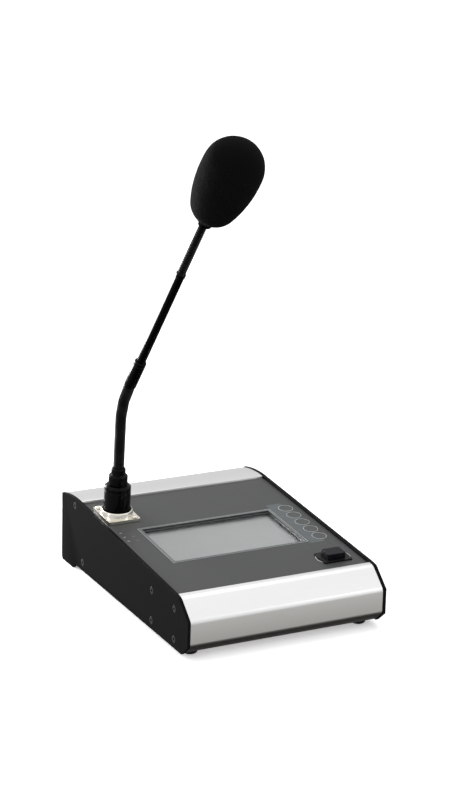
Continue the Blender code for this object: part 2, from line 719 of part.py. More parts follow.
def key_board():
    first, last = KEY_PLACES[0][1], KEY_PLACES[-1][1]
    size = (2 * (KEY_SIDE - KEY_BOARD_SIDE), last - first + 2 * KEY_BOARD_END, BOARD_THICK)
    middle = (KEY_X, (first + last) / 2, -KEY_STEM - 2 * KEY_TRAVEL - BOARD_THICK / 2)
    put(block("key_board", size), BOARD_GREEN, PLATE, middle)


def talk_key():
    opening = cap_outline((0, 0), TALK_KEY, TALK_PLAY)
    height = TALK_RIM + TALK_DEPTH
    frame = flat("talk_key_frame", [cap_outline((0, 0), TALK_FRAME), opening], height)
    put(frame, BLACK_PLASTIC, PLATE, (*TALK_PLACE, TALK_RIM - height / 2))
    height = TALK_RISE + TALK_KEY_DEPTH
    key = flat("talk_key", [cap_outline((0, 0), TALK_KEY)], height)
    put(key, TALK_PLASTIC, PLATE, (*TALK_PLACE, TALK_RISE - height / 2))
    top = -TALK_DEPTH - GAP
    switch = block("talk_switch", SWITCH_SIZE)
    put(switch, BLACK_PLASTIC, PLATE, (*TALK_PLACE, top - SWITCH_SIZE[2] / 2))


def status_light_guide():
    """One clear bar with a pipe up to each light hole."""
    first, last = LIGHT_PLACES[0], LIGHT_PLACES[-1]
    top = -PLATE_THICK - GAP
    size = (LIGHT_BAR[0], first[1] - last[1] + 2 * LIGHT_BAR[1], LIGHT_BAR[2])
    bar = block("status_light_guide", size)
    middle = (first[1] + last[1]) / 2
    height = top - LIGHT_BAR[2] / 2
    put(bar, LIGHT_PIPE, PLATE, (LIGHT_X, middle, height))
    for number, (_, place) in enumerate(LIGHT_PLACES, 1):
        up = -height
        profile = [(0, up), (LIGHT_RADIUS, up), (LIGHT_RADIUS, 0), (0, 0)]
        pipe = turned(f"status_light_pipe_{number}", profile, segments=12)
        boolean(bar, "UNION", helper(pipe, bar, (0, place - middle, 0)))


# ---- Microphone socket ----


def cylinder_profile(radius, top, bottom):
    return [(0, top), (radius, top), (radius, bottom), (0, bottom)]


def socket_flange():
    """The nickel flange with its raised round collar, bored through, and slotted for the tab."""
    middle = FLANGE_BOTTOM + FLANGE_THICK / 2
    flange = meshed(flat("socket_flange", [cap_outline((0, 0), FLANGE, corner=1.5 * MM)], FLANGE_THICK))
    put(flange, NICKEL, SOCKET, (0, 0, middle))
    collar = [
        (0, MOUTH_HEIGHT),
        (COLLAR_LIP - 0.5 * MM, MOUTH_HEIGHT),
        (COLLAR_LIP, MOUTH_HEIGHT - 0.5 * MM),
        (COLLAR_FOOT, FLANGE_TOP),
        (COLLAR_FOOT, middle),
        (0, middle),
    ]
    boolean(flange, "UNION", helper(turned("socket_collar", collar, segments=48), SOCKET))
    bore = cylinder_profile(MOUTH_RADIUS, MOUTH_HEIGHT + MM, -MM)
    boolean(flange, "DIFFERENCE", helper(turned("socket_bore", bore, segments=48), SOCKET))
    slot = block("tab_slot", (TAB[0] + 2 * GAP, TAB[1] + 2 * GAP, 4 * MOUTH_HEIGHT))
    boolean(flange, "DIFFERENCE", helper(slot, SOCKET, (0, TAB_PLACE, 0)))
    for number, (x, s) in enumerate(FLANGE_SCREWS, 1):
        hole = cylinder_profile(SCREW_SHANK + SCREW_PLAY, MOUTH_HEIGHT, -MM)
        cutter = turned(f"flange_hole_{number}", hole, segments=12)
        boolean(flange, "DIFFERENCE", helper(cutter, SOCKET, (x, s, 0)))


def flange_screw(name, place):
    top = FLANGE_TOP + GAP
    profile = [
        (0, top + 0.3 * MM),
        (SCREW_SOCKET, top + 0.3 * MM),
        (SCREW_SOCKET, top + 1.1 * MM),
        (FLANGE_SCREW_HEAD * 0.8, top + 1.1 * MM),
        (FLANGE_SCREW_HEAD, top + 0.5 * MM),
        (FLANGE_SCREW_HEAD, top),
        (SCREW_SHANK, top),
        (SCREW_SHANK, top - FLANGE_SCREW_LENGTH),
        (0, top - FLANGE_SCREW_LENGTH),
    ]
    put(turned(name, profile, segments=16), STEEL, SOCKET, (*place, 0))


def contact_places():
    """The three contacts, evenly round a circle."""
    angles = [math.radians(30 + 120 * i) for i in range(3)]
    return [(CONTACT_CIRCLE * math.cos(a), CONTACT_CIRCLE * math.sin(a)) for a in angles]


def socket_insert():
    """The round cup under the plate, and in it the block with the three contact holes."""
    inner, rim = CUP_RADIUS - CUP_WALL, FLANGE_BOTTOM - GAP
    floor = CUP_WALL - CUP_DEPTH
    profile = [
        (0, CONTACT_TOP),
        (CONTACT_BLOCK, CONTACT_TOP),
        (CONTACT_BLOCK, floor),
        (inner, floor),
        (inner, rim),
        (CUP_RADIUS, rim),
        (CUP_RADIUS, -CUP_DEPTH),
        (0, -CUP_DEPTH),
    ]
    insert = turned("socket_insert", profile, segments=32)
    put(insert, BLACK_PLASTIC, SOCKET)
    for number, (x, y) in enumerate(contact_places(), 1):
        hole = cylinder_profile(CONTACT_PIN + GAP, CONTACT_TOP + MM, floor)
        cutter = turned(f"contact_hole_{number}", hole, segments=12)
        boolean(insert, "DIFFERENCE", helper(cutter, SOCKET, (x, y, 0)))


def latch_tab():
    """The push tab that frees the plug."""
    bottom, top = GAP + TAB_TRAVEL, FLANGE_TOP + TAB_RISE
    tab = block("latch_tab", (*TAB, top - bottom))
    put(tab, STEEL, SOCKET, (0, TAB_PLACE, (top + bottom) / 2))


# ---- Microphone plug ----


def plug_shell():
    """The plug's sleeve, hollow below, its shoulder rounded above."""
    profile = [
        (0, PLUG_INSERT_TOP + GAP),
        (PLUG_BORE, PLUG_INSERT_TOP + GAP),
        (PLUG_BORE, -PLUG_SINK),
        (PLUG_RADIUS, -PLUG_SINK),
        (PLUG_RADIUS, PLUG_TOP - 1.2 * MM),
        (PLUG_RADIUS - 1.2 * MM, PLUG_TOP),
        (0, PLUG_TOP),
    ]
    put(turned("plug_shell", profile[::-1], segments=40), MIC_BLACK, SOCKET)


def plug_collar():
    """The stepped collar between the sleeve and the flexible neck."""
    step, step_top = PLUG_STEP
    neck, neck_top = PLUG_NECK
    profile = [
        (0, neck_top),
        (neck - MM, neck_top),
        (neck, neck_top - MM),
        (neck, step_top),
        (step - MM, step_top),
        (step, step_top - MM),
        (step, PLUG_TOP + GAP),
        (0, PLUG_TOP + GAP),
    ]
    put(turned("plug_collar", profile, segments=32), MIC_BLACK, SOCKET)


def plug_pins():
    """The insulating disc with its three contact pins."""
    bottom = 0.5 * MM
    disc = turned("plug_pins", cylinder_profile(PLUG_BORE - GAP, PLUG_INSERT_TOP, bottom), segments=24)
    put(disc, BLACK_PLASTIC, SOCKET)
    for number, (x, y) in enumerate(contact_places(), 1):
        pin = cylinder_profile(CONTACT_PIN, bottom + MM, -PLUG_SINK + 2 * MM)
        boolean(disc, "UNION", helper(turned(f"pin_{number}", pin, segments=12), SOCKET, (x, y, 0)))


# ---- Gooseneck ----

NECK_START = PLUG_NECK[1]
NECK_UP = PLATE_NORMAL
LEAN_AHEAD = Vector((math.sin(LEAN_TURN), -math.cos(LEAN_TURN), 0))
NECK_END_WAY = math.cos(LEAN) * UP + math.sin(LEAN) * LEAN_AHEAD
NECK_SIDE = (NECK_END_WAY - NECK_END_WAY.dot(NECK_UP) * NECK_UP).normalized()
NECK_HINGE = NECK_UP.cross(NECK_SIDE)  # turning about it bends the neck further over
BEND_ANGLE = NECK_UP.angle(NECK_END_WAY)
BEND_LENGTH = BEND_RADIUS * BEND_ANGLE
LOWER_LENGTH = NECK_STRAIGHT + BEND_LENGTH + LOWER_PAST_BEND
FERRULE_START = LOWER_LENGTH
TUBE_START = FERRULE_START + FERRULE_LENGTH
RING_START = TUBE_START + TUBE_LENGTH
UPPER_START = RING_START + RING_LENGTH
HEAD_START = UPPER_START + UPPER_LENGTH


def neck_frame(distance):
    """The world frame at a distance along the neck: Z runs along it, Y is the bend's axis."""
    start = SEATS["socket_axis"].translation + NECK_START * NECK_UP
    along = min(distance, NECK_STRAIGHT)
    angle = min(max(distance - NECK_STRAIGHT, 0), BEND_LENGTH) / BEND_RADIUS
    past = max(distance - NECK_STRAIGHT - BEND_LENGTH, 0)
    way = math.cos(angle) * NECK_UP + math.sin(angle) * NECK_SIDE
    rise = along + BEND_RADIUS * math.sin(angle)
    reach = BEND_RADIUS * (1 - math.cos(angle))
    point = start + rise * NECK_UP + reach * NECK_SIDE + past * way
    return framed(point, NECK_HINGE.cross(way), NECK_HINGE, way)


def link(name, parent, start, end, radius):
    """A stretch of flexible neck, following the bend, with drawn-in ends."""
    count = 6
    curve = bpy.data.curves.new(name, "CURVE")
    curve.dimensions = "3D"
    curve.bevel_depth = radius
    curve.bevel_resolution = LINK_SIDES // 2 - 2
    curve.use_fill_caps = True
    spline = curve.splines.new("POLY")
    spline.points.add(count - 1)
    home = SEATS[parent.name].inverted()
    shoulder = 0.12
    shares = [0, shoulder, 0.5 - shoulder, 0.5 + shoulder, 1 - shoulder, 1]
    for point, share in zip(spline.points, shares):
        place = home @ neck_frame(start + share * (end - start)).translation
        point.co = (*place, 1)
        point.radius = LINK_END if share in (0, 1) else 1
    put(bpy.data.objects.new(name, curve), FLEX_BLACK, parent)


def flexible_stretch(name, parent, start, length, links, gap, radius):
    """Links and gaps between two rigid ends. Returns the empty of what the stretch carries."""
    link_length = (length - (links + 1) * gap) / links
    for number in range(links + 1):
        gap_start = start + number * (link_length + gap)
        hinge = neck_frame(gap_start + gap / 2)
        parent = seat(f"{name}_hinge_{number + 1}", hinge, parent)
        if number < links:
            link_start = gap_start + gap
            link(f"{name}_link_{number + 1}", parent, link_start, link_start + link_length, radius)
    return parent


def along_neck(obj, finish, parent, distance):
    """Puts a turned piece on the neck at a distance along it."""
    put(obj, finish, parent)
    obj.matrix_basis = SEATS[parent.name].inverted() @ neck_frame(distance)


def ferrule(parent):
    socket = TUBE_RADIUS + GAP
    length, radius = FERRULE_LENGTH, FERRULE_RADIUS
    profile = [
        (0, length - FERRULE_SOCKET),
        (socket, length - FERRULE_SOCKET),
        (socket, length),
        (radius - 0.3 * MM, length),
        (radius, length - MM),
        (radius, MM),
        (radius - 0.5 * MM, 0),
        (0, 0),
    ]
    along_neck(turned("neck_ferrule", profile, segments=32), MIC_BLACK, parent, FERRULE_START)


def neck_tube(parent):
    start = TUBE_START - FERRULE_SOCKET + GAP
    length = RING_START - start - GAP
    profile = [(TUBE_RADIUS, length), (TUBE_RADIUS, 0), (TUBE_BORE, 0), (TUBE_BORE, length)]
    tube = turned("neck_tube", profile, closed=True, segments=24)
    along_neck(tube, MIC_BLACK, parent, start)


def tube_ring(parent):
    """The ring on the tube's end, which the upper flexible neck comes out of."""
    inner = UPPER_RADIUS + GAP
    outer = inner + RING_WALL
    profile = [(outer, RING_LENGTH), (outer, 0), (inner, 0), (inner, RING_LENGTH)]
    ring = turned("tube_ring", profile, closed=True, segments=24)
    along_neck(ring, MIC_BLACK, parent, RING_START)


# ---- Head ----


def head_frame():
    return neck_frame(HEAD_START) @ Matrix.Rotation(HEAD_TILT, 4, "Y")


def head_piece(obj, finish, parent):
    put(obj, finish, parent)
    obj.matrix_basis = SEATS[parent.name].inverted() @ head_frame()


def capsule_housing(parent):
    """The collar over the neck's end and the housing above it, open at its top for the capsule."""
    collar, collar_end = HEAD_COLLAR
    radius, length = HOUSING
    pocket = CAPSULE[0] + GAP
    floor = collar_end + length - CAPSULE[1] - GAP
    profile = [
        (0, floor),
        (pocket, floor),
        (pocket, collar_end + length),
        (radius, collar_end + length),
        (radius, collar_end),
        (collar, collar_end - MM),
        (collar, GAP),
        (0, GAP),
    ]
    head_piece(turned("capsule_housing", profile, segments=24), MIC_BLACK, parent)


def capsule(parent):
    top = HEAD_COLLAR[1] + HOUSING[1]
    profile = cylinder_profile(CAPSULE[0], top, top - CAPSULE[1])
    head_piece(turned("microphone_capsule", profile, segments=24), STEEL, parent)


def arc(centre, radius, start, end, count):
    """Points of a profile along an arc about (0 or another radius, height), both ends included."""
    angles = [start + (end - start) * i / count for i in range(count + 1)]
    return [(centre[0] + radius * math.cos(a), centre[1] + radius * math.sin(a)) for a in angles]


def windscreen(parent):
    """The foam ball, bored for the housing: two round ends and sides that touch both of them smoothly."""
    low = FOAM_START + FOAM_NARROW
    high = low + FOAM_SPAN
    to_narrow, to_broad = FOAM_SIDE - FOAM_NARROW, FOAM_SIDE - FOAM_BROAD
    up = (to_narrow**2 - to_broad**2 + FOAM_SPAN**2) / (2 * FOAM_SPAN)
    out = math.sqrt(to_narrow**2 - up**2)
    meets_broad = math.atan2(FOAM_SPAN - up, out)
    meets_narrow = math.atan2(-up, out)
    bore = HOUSING[0] + FOAM_PLAY
    bore_top = HEAD_COLLAR[1] + HOUSING[1] + FOAM_PLAY
    profile = [(0, high + FOAM_BROAD)]
    profile += arc((0, high), FOAM_BROAD, math.pi / 2, meets_broad, 11)[1:]
    profile += arc((-out, low + up), FOAM_SIDE, meets_broad, meets_narrow, 6)[1:-1]
    profile += arc((0, low), FOAM_NARROW, meets_narrow, -math.acos(bore / FOAM_NARROW), 8)
    profile += [(bore, bore_top), (0, bore_top)]
    head_piece(turned("foam_windscreen", profile, segments=32), FOAM, parent)


# ---- The whole ----


def console():
    for name, side in (("left", -1), ("right", 1)):
        side_panel(f"side_panel_{name}", side)
        front_foot(f"front_foot_{name}", side)
        for number, (depth, height) in enumerate(SIDE_SCREWS, 1):
            side_screw(f"side_screw_{name}_{number}", side, depth, height)
    front_rail()
    rear_rail()
    bottom_plate()
    rear_panel()
    main_board()
    power_inlet()
    for number, x in enumerate(JACK_PLACES, 1):
        network_jack(f"network_jack_{number}", x)


def controls():
    top_plate()
    display()
    talk_key()
    key_board()
    status_light_guide()
    for number, place in enumerate(KEY_PLACES, 1):
        function_key(f"function_key_{number}", place)
    socket_flange()
    socket_insert()
    latch_tab()
    for number, place in enumerate(FLANGE_SCREWS, 1):
        flange_screw(f"flange_screw_{number}", place)


def microphone():
    plug_shell()
    plug_pins()
    plug_collar()
    middle = flexible_stretch(
        "lower_flex", SOCKET, 0, LOWER_LENGTH, LOWER_LINKS, LOWER_GAP, LOWER_RADIUS
    )
    ferrule(middle)
    neck_tube(middle)
    tube_ring(middle)
    head = flexible_stretch(
        "upper_flex", middle, UPPER_START, UPPER_LENGTH, UPPER_LINKS, UPPER_GAP, UPPER_RADIUS
    )
    capsule_housing(head)
    capsule(head)
    windscreen(head)


console()
controls()
microphone()
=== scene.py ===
"""Looks of a desk paging microphone: a black and aluminium console with a touch display, five round
keys and a talk key, and a plug-in gooseneck microphone with a foam windscreen."""

import json
import math

import bmesh
import bpy
from mathutils import Matrix, Vector, noise

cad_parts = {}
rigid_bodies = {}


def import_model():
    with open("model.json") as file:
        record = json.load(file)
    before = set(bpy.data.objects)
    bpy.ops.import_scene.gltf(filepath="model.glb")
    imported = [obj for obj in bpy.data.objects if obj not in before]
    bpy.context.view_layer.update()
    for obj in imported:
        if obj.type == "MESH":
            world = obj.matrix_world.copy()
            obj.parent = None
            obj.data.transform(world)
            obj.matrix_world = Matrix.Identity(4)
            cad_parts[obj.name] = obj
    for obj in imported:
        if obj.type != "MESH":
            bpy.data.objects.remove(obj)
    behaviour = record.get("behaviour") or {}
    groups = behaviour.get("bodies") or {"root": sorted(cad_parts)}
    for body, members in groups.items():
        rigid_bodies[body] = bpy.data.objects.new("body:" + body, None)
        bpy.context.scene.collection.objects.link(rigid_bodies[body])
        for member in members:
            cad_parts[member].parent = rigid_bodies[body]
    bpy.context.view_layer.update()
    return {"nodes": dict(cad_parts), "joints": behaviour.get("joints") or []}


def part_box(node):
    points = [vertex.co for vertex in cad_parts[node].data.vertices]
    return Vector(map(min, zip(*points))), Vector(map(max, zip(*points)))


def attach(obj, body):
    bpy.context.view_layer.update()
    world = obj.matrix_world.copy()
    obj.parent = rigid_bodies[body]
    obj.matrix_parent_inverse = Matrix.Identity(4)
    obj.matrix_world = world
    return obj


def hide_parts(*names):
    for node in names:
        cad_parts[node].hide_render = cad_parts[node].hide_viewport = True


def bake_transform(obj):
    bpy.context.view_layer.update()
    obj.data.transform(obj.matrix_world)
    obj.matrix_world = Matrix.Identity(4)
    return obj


for old in list(bpy.data.objects):
    bpy.data.objects.remove(old)

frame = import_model()

MM = 0.001
NODES = frame["nodes"]
JOINTS = {joint["name"]: joint for joint in frame["joints"]}

# ---- The control plane: its right, rearward and upward directions ----

UP = Vector((0, 0, 1))
RIGHT = Vector((1, 0, 0))
PLANE_UP = -Vector(JOINTS["talk_key_press"]["axis"]).normalized()
REARWARD = PLANE_UP.cross(RIGHT)


def corners(node):
    return [v.co for v in NODES[node].data.vertices]


def reach(node, way):
    """Lowest and highest value of a node along a direction."""
    found = [co.dot(way) for co in corners(node)]
    return min(found), max(found)


def girth(node, axis, through):
    """A turned node's greatest distance from the line through a point along its axis."""
    offsets = [co - through for co in corners(node)]
    return max((offset - axis * offset.dot(axis)).length for offset in offsets)


def middle(node):
    """A node's middle along the plane's right and rearward directions."""
    across, back = reach(node, RIGHT), reach(node, REARWARD)
    return sum(across) / 2, sum(back) / 2


def ends_of(node, axis, through):
    """Where a node starts and ends on the line through a point along an axis."""
    low, high = reach(node, axis)
    base = through - axis * through.dot(axis)
    return base + axis * low, base + axis * high


PLATE_TOP = reach("top_plate", PLANE_UP)[1]
PLANE = Matrix((RIGHT, REARWARD, PLANE_UP)).transposed().to_4x4()


def on_plane(across, back, up):
    """The point at these distances along the plane's right, rearward and upward directions."""
    return RIGHT * across + REARWARD * back + PLANE_UP * up


# ---- Node trees ----


def tree_inputs(tree, sockets):
    for name, kind, value in sockets:
        socket = tree.interface.new_socket(name, in_out="INPUT", socket_type=kind)
        if value is not None:
            socket.default_value = value


def tree_outputs(tree, sockets):
    for name, kind in sockets:
        tree.interface.new_socket(name, in_out="OUTPUT", socket_type=kind)


def begin(name, kind, inputs, outputs):
    """A new node group with its sockets: the tree, its input node and its output node."""
    tree = bpy.data.node_groups.new(name, kind)
    tree_inputs(tree, inputs)
    tree_outputs(tree, outputs)
    return tree, tree.nodes.new("NodeGroupInput"), tree.nodes.new("NodeGroupOutput")


def wire(source, out, target, into):
    source.id_data.links.new(source.outputs[out], target.inputs[into])


def finished(start, source, out, end, name):
    """Ends a geometry tree: real copies, all with the finish, go to the named output."""
    whole = add(end.id_data, "GeometryNodeRealizeInstances")
    finish = add(end.id_data, "GeometryNodeSetMaterial")
    wire(source, out, whole, "Geometry")
    wire(whole, "Geometry", finish, "Geometry")
    wire(start, "Finish", finish, "Material")
    wire(finish, "Geometry", end, name)


def add(tree, kind, **values):
    """A new node with some of its sockets set."""
    made = tree.nodes.new(kind)
    for name, value in values.items():
        made.inputs[name].default_value = value
    return made


def math_node(tree, operation, first, second=None):
    """A Math node. Each value is a number or a (node, output) pair."""
    made = tree.nodes.new("ShaderNodeMath")
    made.operation = operation
    for slot, value in enumerate((first, second)):
        if value is None:
            continue
        if isinstance(value, tuple):
            wire(*value, made, slot)
        else:
            made.inputs[slot].default_value = value
    return made


# ---- Shader groups ----


MOTTLE_SCALE = 45  # of the broad mottling
DUST_SCALE = 260
BRUSH_STRETCH = (40, 2600, 2600)  # lines many times longer along X than across


def grain_group():
    """Fine mottling of a surface: a normal, and a value round one half for colour and gloss."""
    inputs = [
        ("Vector", "NodeSocketVector", None),
        ("Scale", "NodeSocketFloat", 900.0),
        ("Depth", "NodeSocketFloat", 0.0001),
        ("Strength", "NodeSocketFloat", 0.3),
    ]
    outputs = [("Normal", "NodeSocketVector"), ("Value", "NodeSocketFloat")]
    tree, start, end = begin("surface_grain", "ShaderNodeTree", inputs, outputs)
    fine = add(tree, "ShaderNodeTexNoise", Detail=3)
    broad = add(tree, "ShaderNodeTexNoise", Scale=MOTTLE_SCALE, Detail=4)
    bump = tree.nodes.new("ShaderNodeBump")
    wire(start, "Vector", fine, "Vector")
    wire(start, "Scale", fine, "Scale")
    wire(start, "Vector", broad, "Vector")
    wire(start, "Strength", bump, "Strength")
    wire(start, "Depth", bump, "Distance")
    wire(fine, "Fac", bump, "Height")
    half = math_node(tree, "MULTIPLY", (fine, "Fac"), 0.5)
    other_half = math_node(tree, "MULTIPLY", (broad, "Fac"), 0.5)
    both = math_node(tree, "ADD", (half, 0), (other_half, 0))
    wire(bump, "Normal", end, "Normal")
    wire(both, 0, end, "Value")
    return tree


def dust_group():
    """A mask of the faint dust that settles on what faces up."""
    inputs = [("Vector", "NodeSocketVector", None), ("Amount", "NodeSocketFloat", 0.1)]
    outputs = [("Mask", "NodeSocketFloat")]
    tree, start, end = begin("settled_dust", "ShaderNodeTree", inputs, outputs)
    facing = tree.nodes.new("ShaderNodeNewGeometry")
    parts = tree.nodes.new("ShaderNodeSeparateXYZ")
    specks = add(tree, "ShaderNodeTexNoise", Scale=DUST_SCALE, Detail=6)
    wire(start, "Vector", specks, "Vector")
    wire(facing, "Normal", parts, "Vector")
    upward = math_node(tree, "MAXIMUM", (parts, "Z"), 0.0)
    sharp = math_node(tree, "POWER", (specks, "Fac"), 3.0)
    settled = math_node(tree, "MULTIPLY", (upward, 0), (sharp, 0))
    mask = math_node(tree, "MULTIPLY", (settled, 0), (start, "Amount"))
    wire(mask, 0, end, "Mask")
    return tree


def brushed_group():
    """Fine lines along X, as drawn aluminium has."""
    inputs = [("Vector", "NodeSocketVector", None), ("Depth", "NodeSocketFloat", 0.00002)]
    outputs = [("Normal", "NodeSocketVector"), ("Value", "NodeSocketFloat")]
    tree, start, end = begin("brushed_lines", "ShaderNodeTree", inputs, outputs)
    stretch = add(tree, "ShaderNodeMapping", Scale=BRUSH_STRETCH)
    lines = add(tree, "ShaderNodeTexNoise", Scale=3, Detail=4)
    bump = add(tree, "ShaderNodeBump", Strength=0.25)
    wire(start, "Vector", stretch, "Vector")
    wire(stretch, "Vector", lines, "Vector")
    wire(start, "Depth", bump, "Distance")
    wire(lines, "Fac", bump, "Height")
    wire(bump, "Normal", end, "Normal")
    wire(lines, "Fac", end, "Value")
    return tree


def foam_group():
    """Open cells of acoustic foam: round pits side by side."""
    inputs = [("Vector", "NodeSocketVector", None), ("Cells", "NodeSocketFloat", 1100.0)]
    outputs = [("Normal", "NodeSocketVector"), ("Value", "NodeSocketFloat")]
    tree, start, end = begin("foam_cells", "ShaderNodeTree", inputs, outputs)
    cells = tree.nodes.new("ShaderNodeTexVoronoi")
    bump = add(tree, "ShaderNodeBump", Strength=0.8, Distance=0.3 * MM)
    wire(start, "Vector", cells, "Vector")
    wire(start, "Cells", cells, "Scale")
    wire(cells, "Distance", bump, "Height")
    wire(bump, "Normal", end, "Normal")
    wire(cells, "Distance", end, "Value")
    return tree


GRAIN = grain_group()
DUST = dust_group()
BRUSHED = brushed_group()
FOAM_CELLS = foam_group()


# ---- Materials ----


def bare_material(name, metallic):
    made = bpy.data.materials.new(name)
    made.use_nodes = True
    shader = made.node_tree.nodes["Principled BSDF"]
    shader.inputs["Metallic"].default_value = metallic
    return made, made.node_tree, shader


def place_group(tree, group, **values):
    made = tree.nodes.new("ShaderNodeGroup")
    made.node_tree = group
    place = tree.nodes.new("ShaderNodeTexCoord")
    wire(place, "Object", made, "Vector")
    for name, value in values.items():
        made.inputs[name].default_value = value
    return made


def ramp(tree, source, stops):
    """A colour ramp over a (node, output) value. Each stop is (position, colour)."""
    made = tree.nodes.new("ShaderNodeValToRGB")
    elements = made.color_ramp.elements
    while len(elements) < len(stops):
        elements.new(0.5)
    for element, (position, colour) in zip(elements, stops):
        element.position = position
        element.color = (*colour, 1)
    wire(*source, made, "Fac")
    return made


def span(tree, source, low, high):
    """A (node, output) value between 0 and 1, stretched to run from low to high."""
    made = tree.nodes.new("ShaderNodeMapRange")
    made.inputs["To Min"].default_value = low
    made.inputs["To Max"].default_value = high
    wire(*source, made, "Value")
    return made


def shade(colour, by):
    return tuple(min(1.0, part * by) for part in colour)


DUST_COLOUR = (0.45, 0.44, 0.42)
GLOSS_SPREAD = 0.06


def mottled(
    name, colour, roughness, metallic=0.0, contrast=0.12, dust=0.08, specular=0.5, **grain
):
    """Moulded or coated surface: mottled colour and gloss, a fine grain, and a little dust."""
    made, tree, shader = bare_material(name, metallic)
    shader.inputs["Specular IOR Level"].default_value = specular
    texture = place_group(tree, GRAIN, **grain)
    settled = place_group(tree, DUST, Amount=dust)
    stops = [(0.3, shade(colour, 1 - contrast)), (0.7, shade(colour, 1 + contrast))]
    colours = ramp(tree, (texture, "Value"), stops)
    mix = tree.nodes.new("ShaderNodeMix")
    mix.data_type = "RGBA"
    mix.inputs[7].default_value = (*DUST_COLOUR, 1)
    wire(settled, "Mask", mix, "Factor")
    wire(colours, "Color", mix, 6)
    wire(mix, 2, shader, "Base Color")
    gloss = span(tree, (texture, "Value"), roughness - GLOSS_SPREAD, roughness + GLOSS_SPREAD)
    wire(gloss, "Result", shader, "Roughness")
    wire(texture, "Normal", shader, "Normal")
    return made


def brushed(name, colour, roughness, depth=0.02 * MM):
    """Drawn and anodised metal."""
    made, tree, shader = bare_material(name, 1.0)
    texture = place_group(tree, BRUSHED, Depth=depth)
    stops = [(0.25, shade(colour, 0.97)), (0.75, shade(colour, 1.02))]
    wire(ramp(tree, (texture, "Value"), stops), "Color", shader, "Base Color")
    gloss = span(tree, (texture, "Value"), roughness - 0.05, roughness + 0.07)
    wire(gloss, "Result", shader, "Roughness")
    wire(texture, "Normal", shader, "Normal")
    return made


def foam_finish():
    made, tree, shader = bare_material("windscreen_foam", 0.0)
    shader.inputs["Specular IOR Level"].default_value = 0.08
    cells = place_group(tree, FOAM_CELLS)
    # Painted shade: the colour is darker towards the bottom of each pit, where the foam's open
    # cells fall into shade.
    stops = [(0.0, (0.0004, 0.0004, 0.0004)), (0.8, (0.0016, 0.0016, 0.0017))]
    wire(ramp(tree, (cells, "Value"), stops), "Color", shader, "Base Color")
    wire(span(tree, (cells, "Value"), 0.85, 1.0), "Result", shader, "Roughness")
    wire(cells, "Normal", shader, "Normal")
    return made


def glass_finish():
    made, tree, shader = bare_material("touch_screen_glass", 0.0)
    shader.inputs["Transmission Weight"].default_value = 1.0
    shader.inputs["IOR"].default_value = 1.3
    smudge = place_group(tree, GRAIN, Scale=30.0, Strength=0.0)
    stops = [(0.0, (0.93, 0.95, 0.95)), (1.0, (0.98, 0.99, 0.99))]
    wire(ramp(tree, (smudge, "Value"), stops), "Color", shader, "Base Color")
    wire(span(tree, (smudge, "Value"), 0.02, 0.12), "Result", shader, "Roughness")
    return made


BLACK_COAT = mottled(
    "black_powder_coat",
    (0.0035, 0.0035, 0.0037),
    0.42,
    dust=0.005,
    specular=0.03,
    Scale=1600.0,
    Strength=0.25,
)
PLATE_GREY = mottled(
    "plate_satin_grey",
    (0.037, 0.0392, 0.0383),
    0.42,
    contrast=0.05,
    dust=0.01,
    specular=0.3,
    Scale=2600.0,
)
KEY_GREY = mottled(
    "key_satin_grey",
    (0.042, 0.045, 0.045),
    0.4,
    contrast=0.05,
    dust=0.02,
    specular=0.35,
    Scale=2600.0,
)
LEGEND_GREY = mottled(
    "legend_grey", (0.066, 0.076, 0.08), 0.45, contrast=0.05, dust=0.01, specular=0.35
)
# Painted highlight: the band round the display window is a lighter grey that stands for light
# caught on the window's bevelled edge.
WINDOW_EDGE_HIGHLIGHT = mottled("window_rim_grey", (0.15, 0.165, 0.168), 0.4, contrast=0.1, dust=0.02)
LINE_GREY = mottled("printed_line_grey", (0.42, 0.44, 0.44), 0.5, contrast=0.08, dust=0.0)
FAINT_GREY = mottled("faint_mark_grey", (0.13, 0.13, 0.125), 0.5, contrast=0.1, dust=0.0)
MARK_WHITE = mottled("printed_mark_white", (0.5, 0.5, 0.48), 0.5, contrast=0.08, dust=0.0)
ALUMINIUM = brushed("satin_anodised_aluminium", (0.73, 0.735, 0.73), 0.36)
NICKEL = brushed("nickel_plate", (0.8, 0.77, 0.7), 0.24, 0.008 * MM)
STEEL = brushed("zinc_plated_steel", (0.55, 0.55, 0.56), 0.35)
GOLD = brushed("contact_gold", (0.85, 0.6, 0.22), 0.25)
BLACK_SCREW = mottled("blackened_screw", (0.035, 0.035, 0.035), 0.3, metallic=0.7, dust=0.02)
BLACK_MOULDED = mottled(
    "black_moulded",
    (0.0035, 0.0035, 0.004),
    0.45,
    dust=0.01,
    specular=0.15,
    Scale=2200.0,
    Strength=0.2,
)
BEZEL_GREY = mottled(
    "bezel_dark_grey", (0.13, 0.138, 0.138), 0.35, dust=0.0, specular=0.5, Scale=700.0
)
KEY_BLACK = mottled(
    "talk_key_black", (0.003, 0.0035, 0.006), 0.42, dust=0.02, specular=0.12, Scale=2400.0
)
DISPLAY_GREY = mottled("display_film", (0.37, 0.375, 0.372), 0.55, contrast=0.03, dust=0.0)
DISPLAY_BORDER = mottled(
    "display_border", (0.22, 0.23, 0.226), 0.45, contrast=0.25, dust=0.0, Scale=500.0
)
MICROPHONE_BLACK = mottled(
    "microphone_semi_gloss",
    (0.0006, 0.0006, 0.0008),
    0.16,
    dust=0.0,
    specular=0.1,
    Scale=1800.0,
    Strength=0.1,
)
NECK_BLACK = mottled(
    "neck_ribbed_black", (0.0014, 0.0014, 0.0017), 0.22, dust=0.0, specular=0.14, Scale=2000.0
)
FOAM = foam_finish()
GLASS = glass_finish()
LIGHT_LENS = mottled("status_lens", (0.16, 0.165, 0.16), 0.3, dust=0.0)
RUBBER = mottled(
    "foot_rubber", (0.006, 0.006, 0.006), 0.75, specular=0.2, Scale=1500.0, Strength=0.4
)
BOARD_GREEN = mottled("board_green", (0.02, 0.11, 0.05), 0.4)


# ---- Making and placing pieces ----


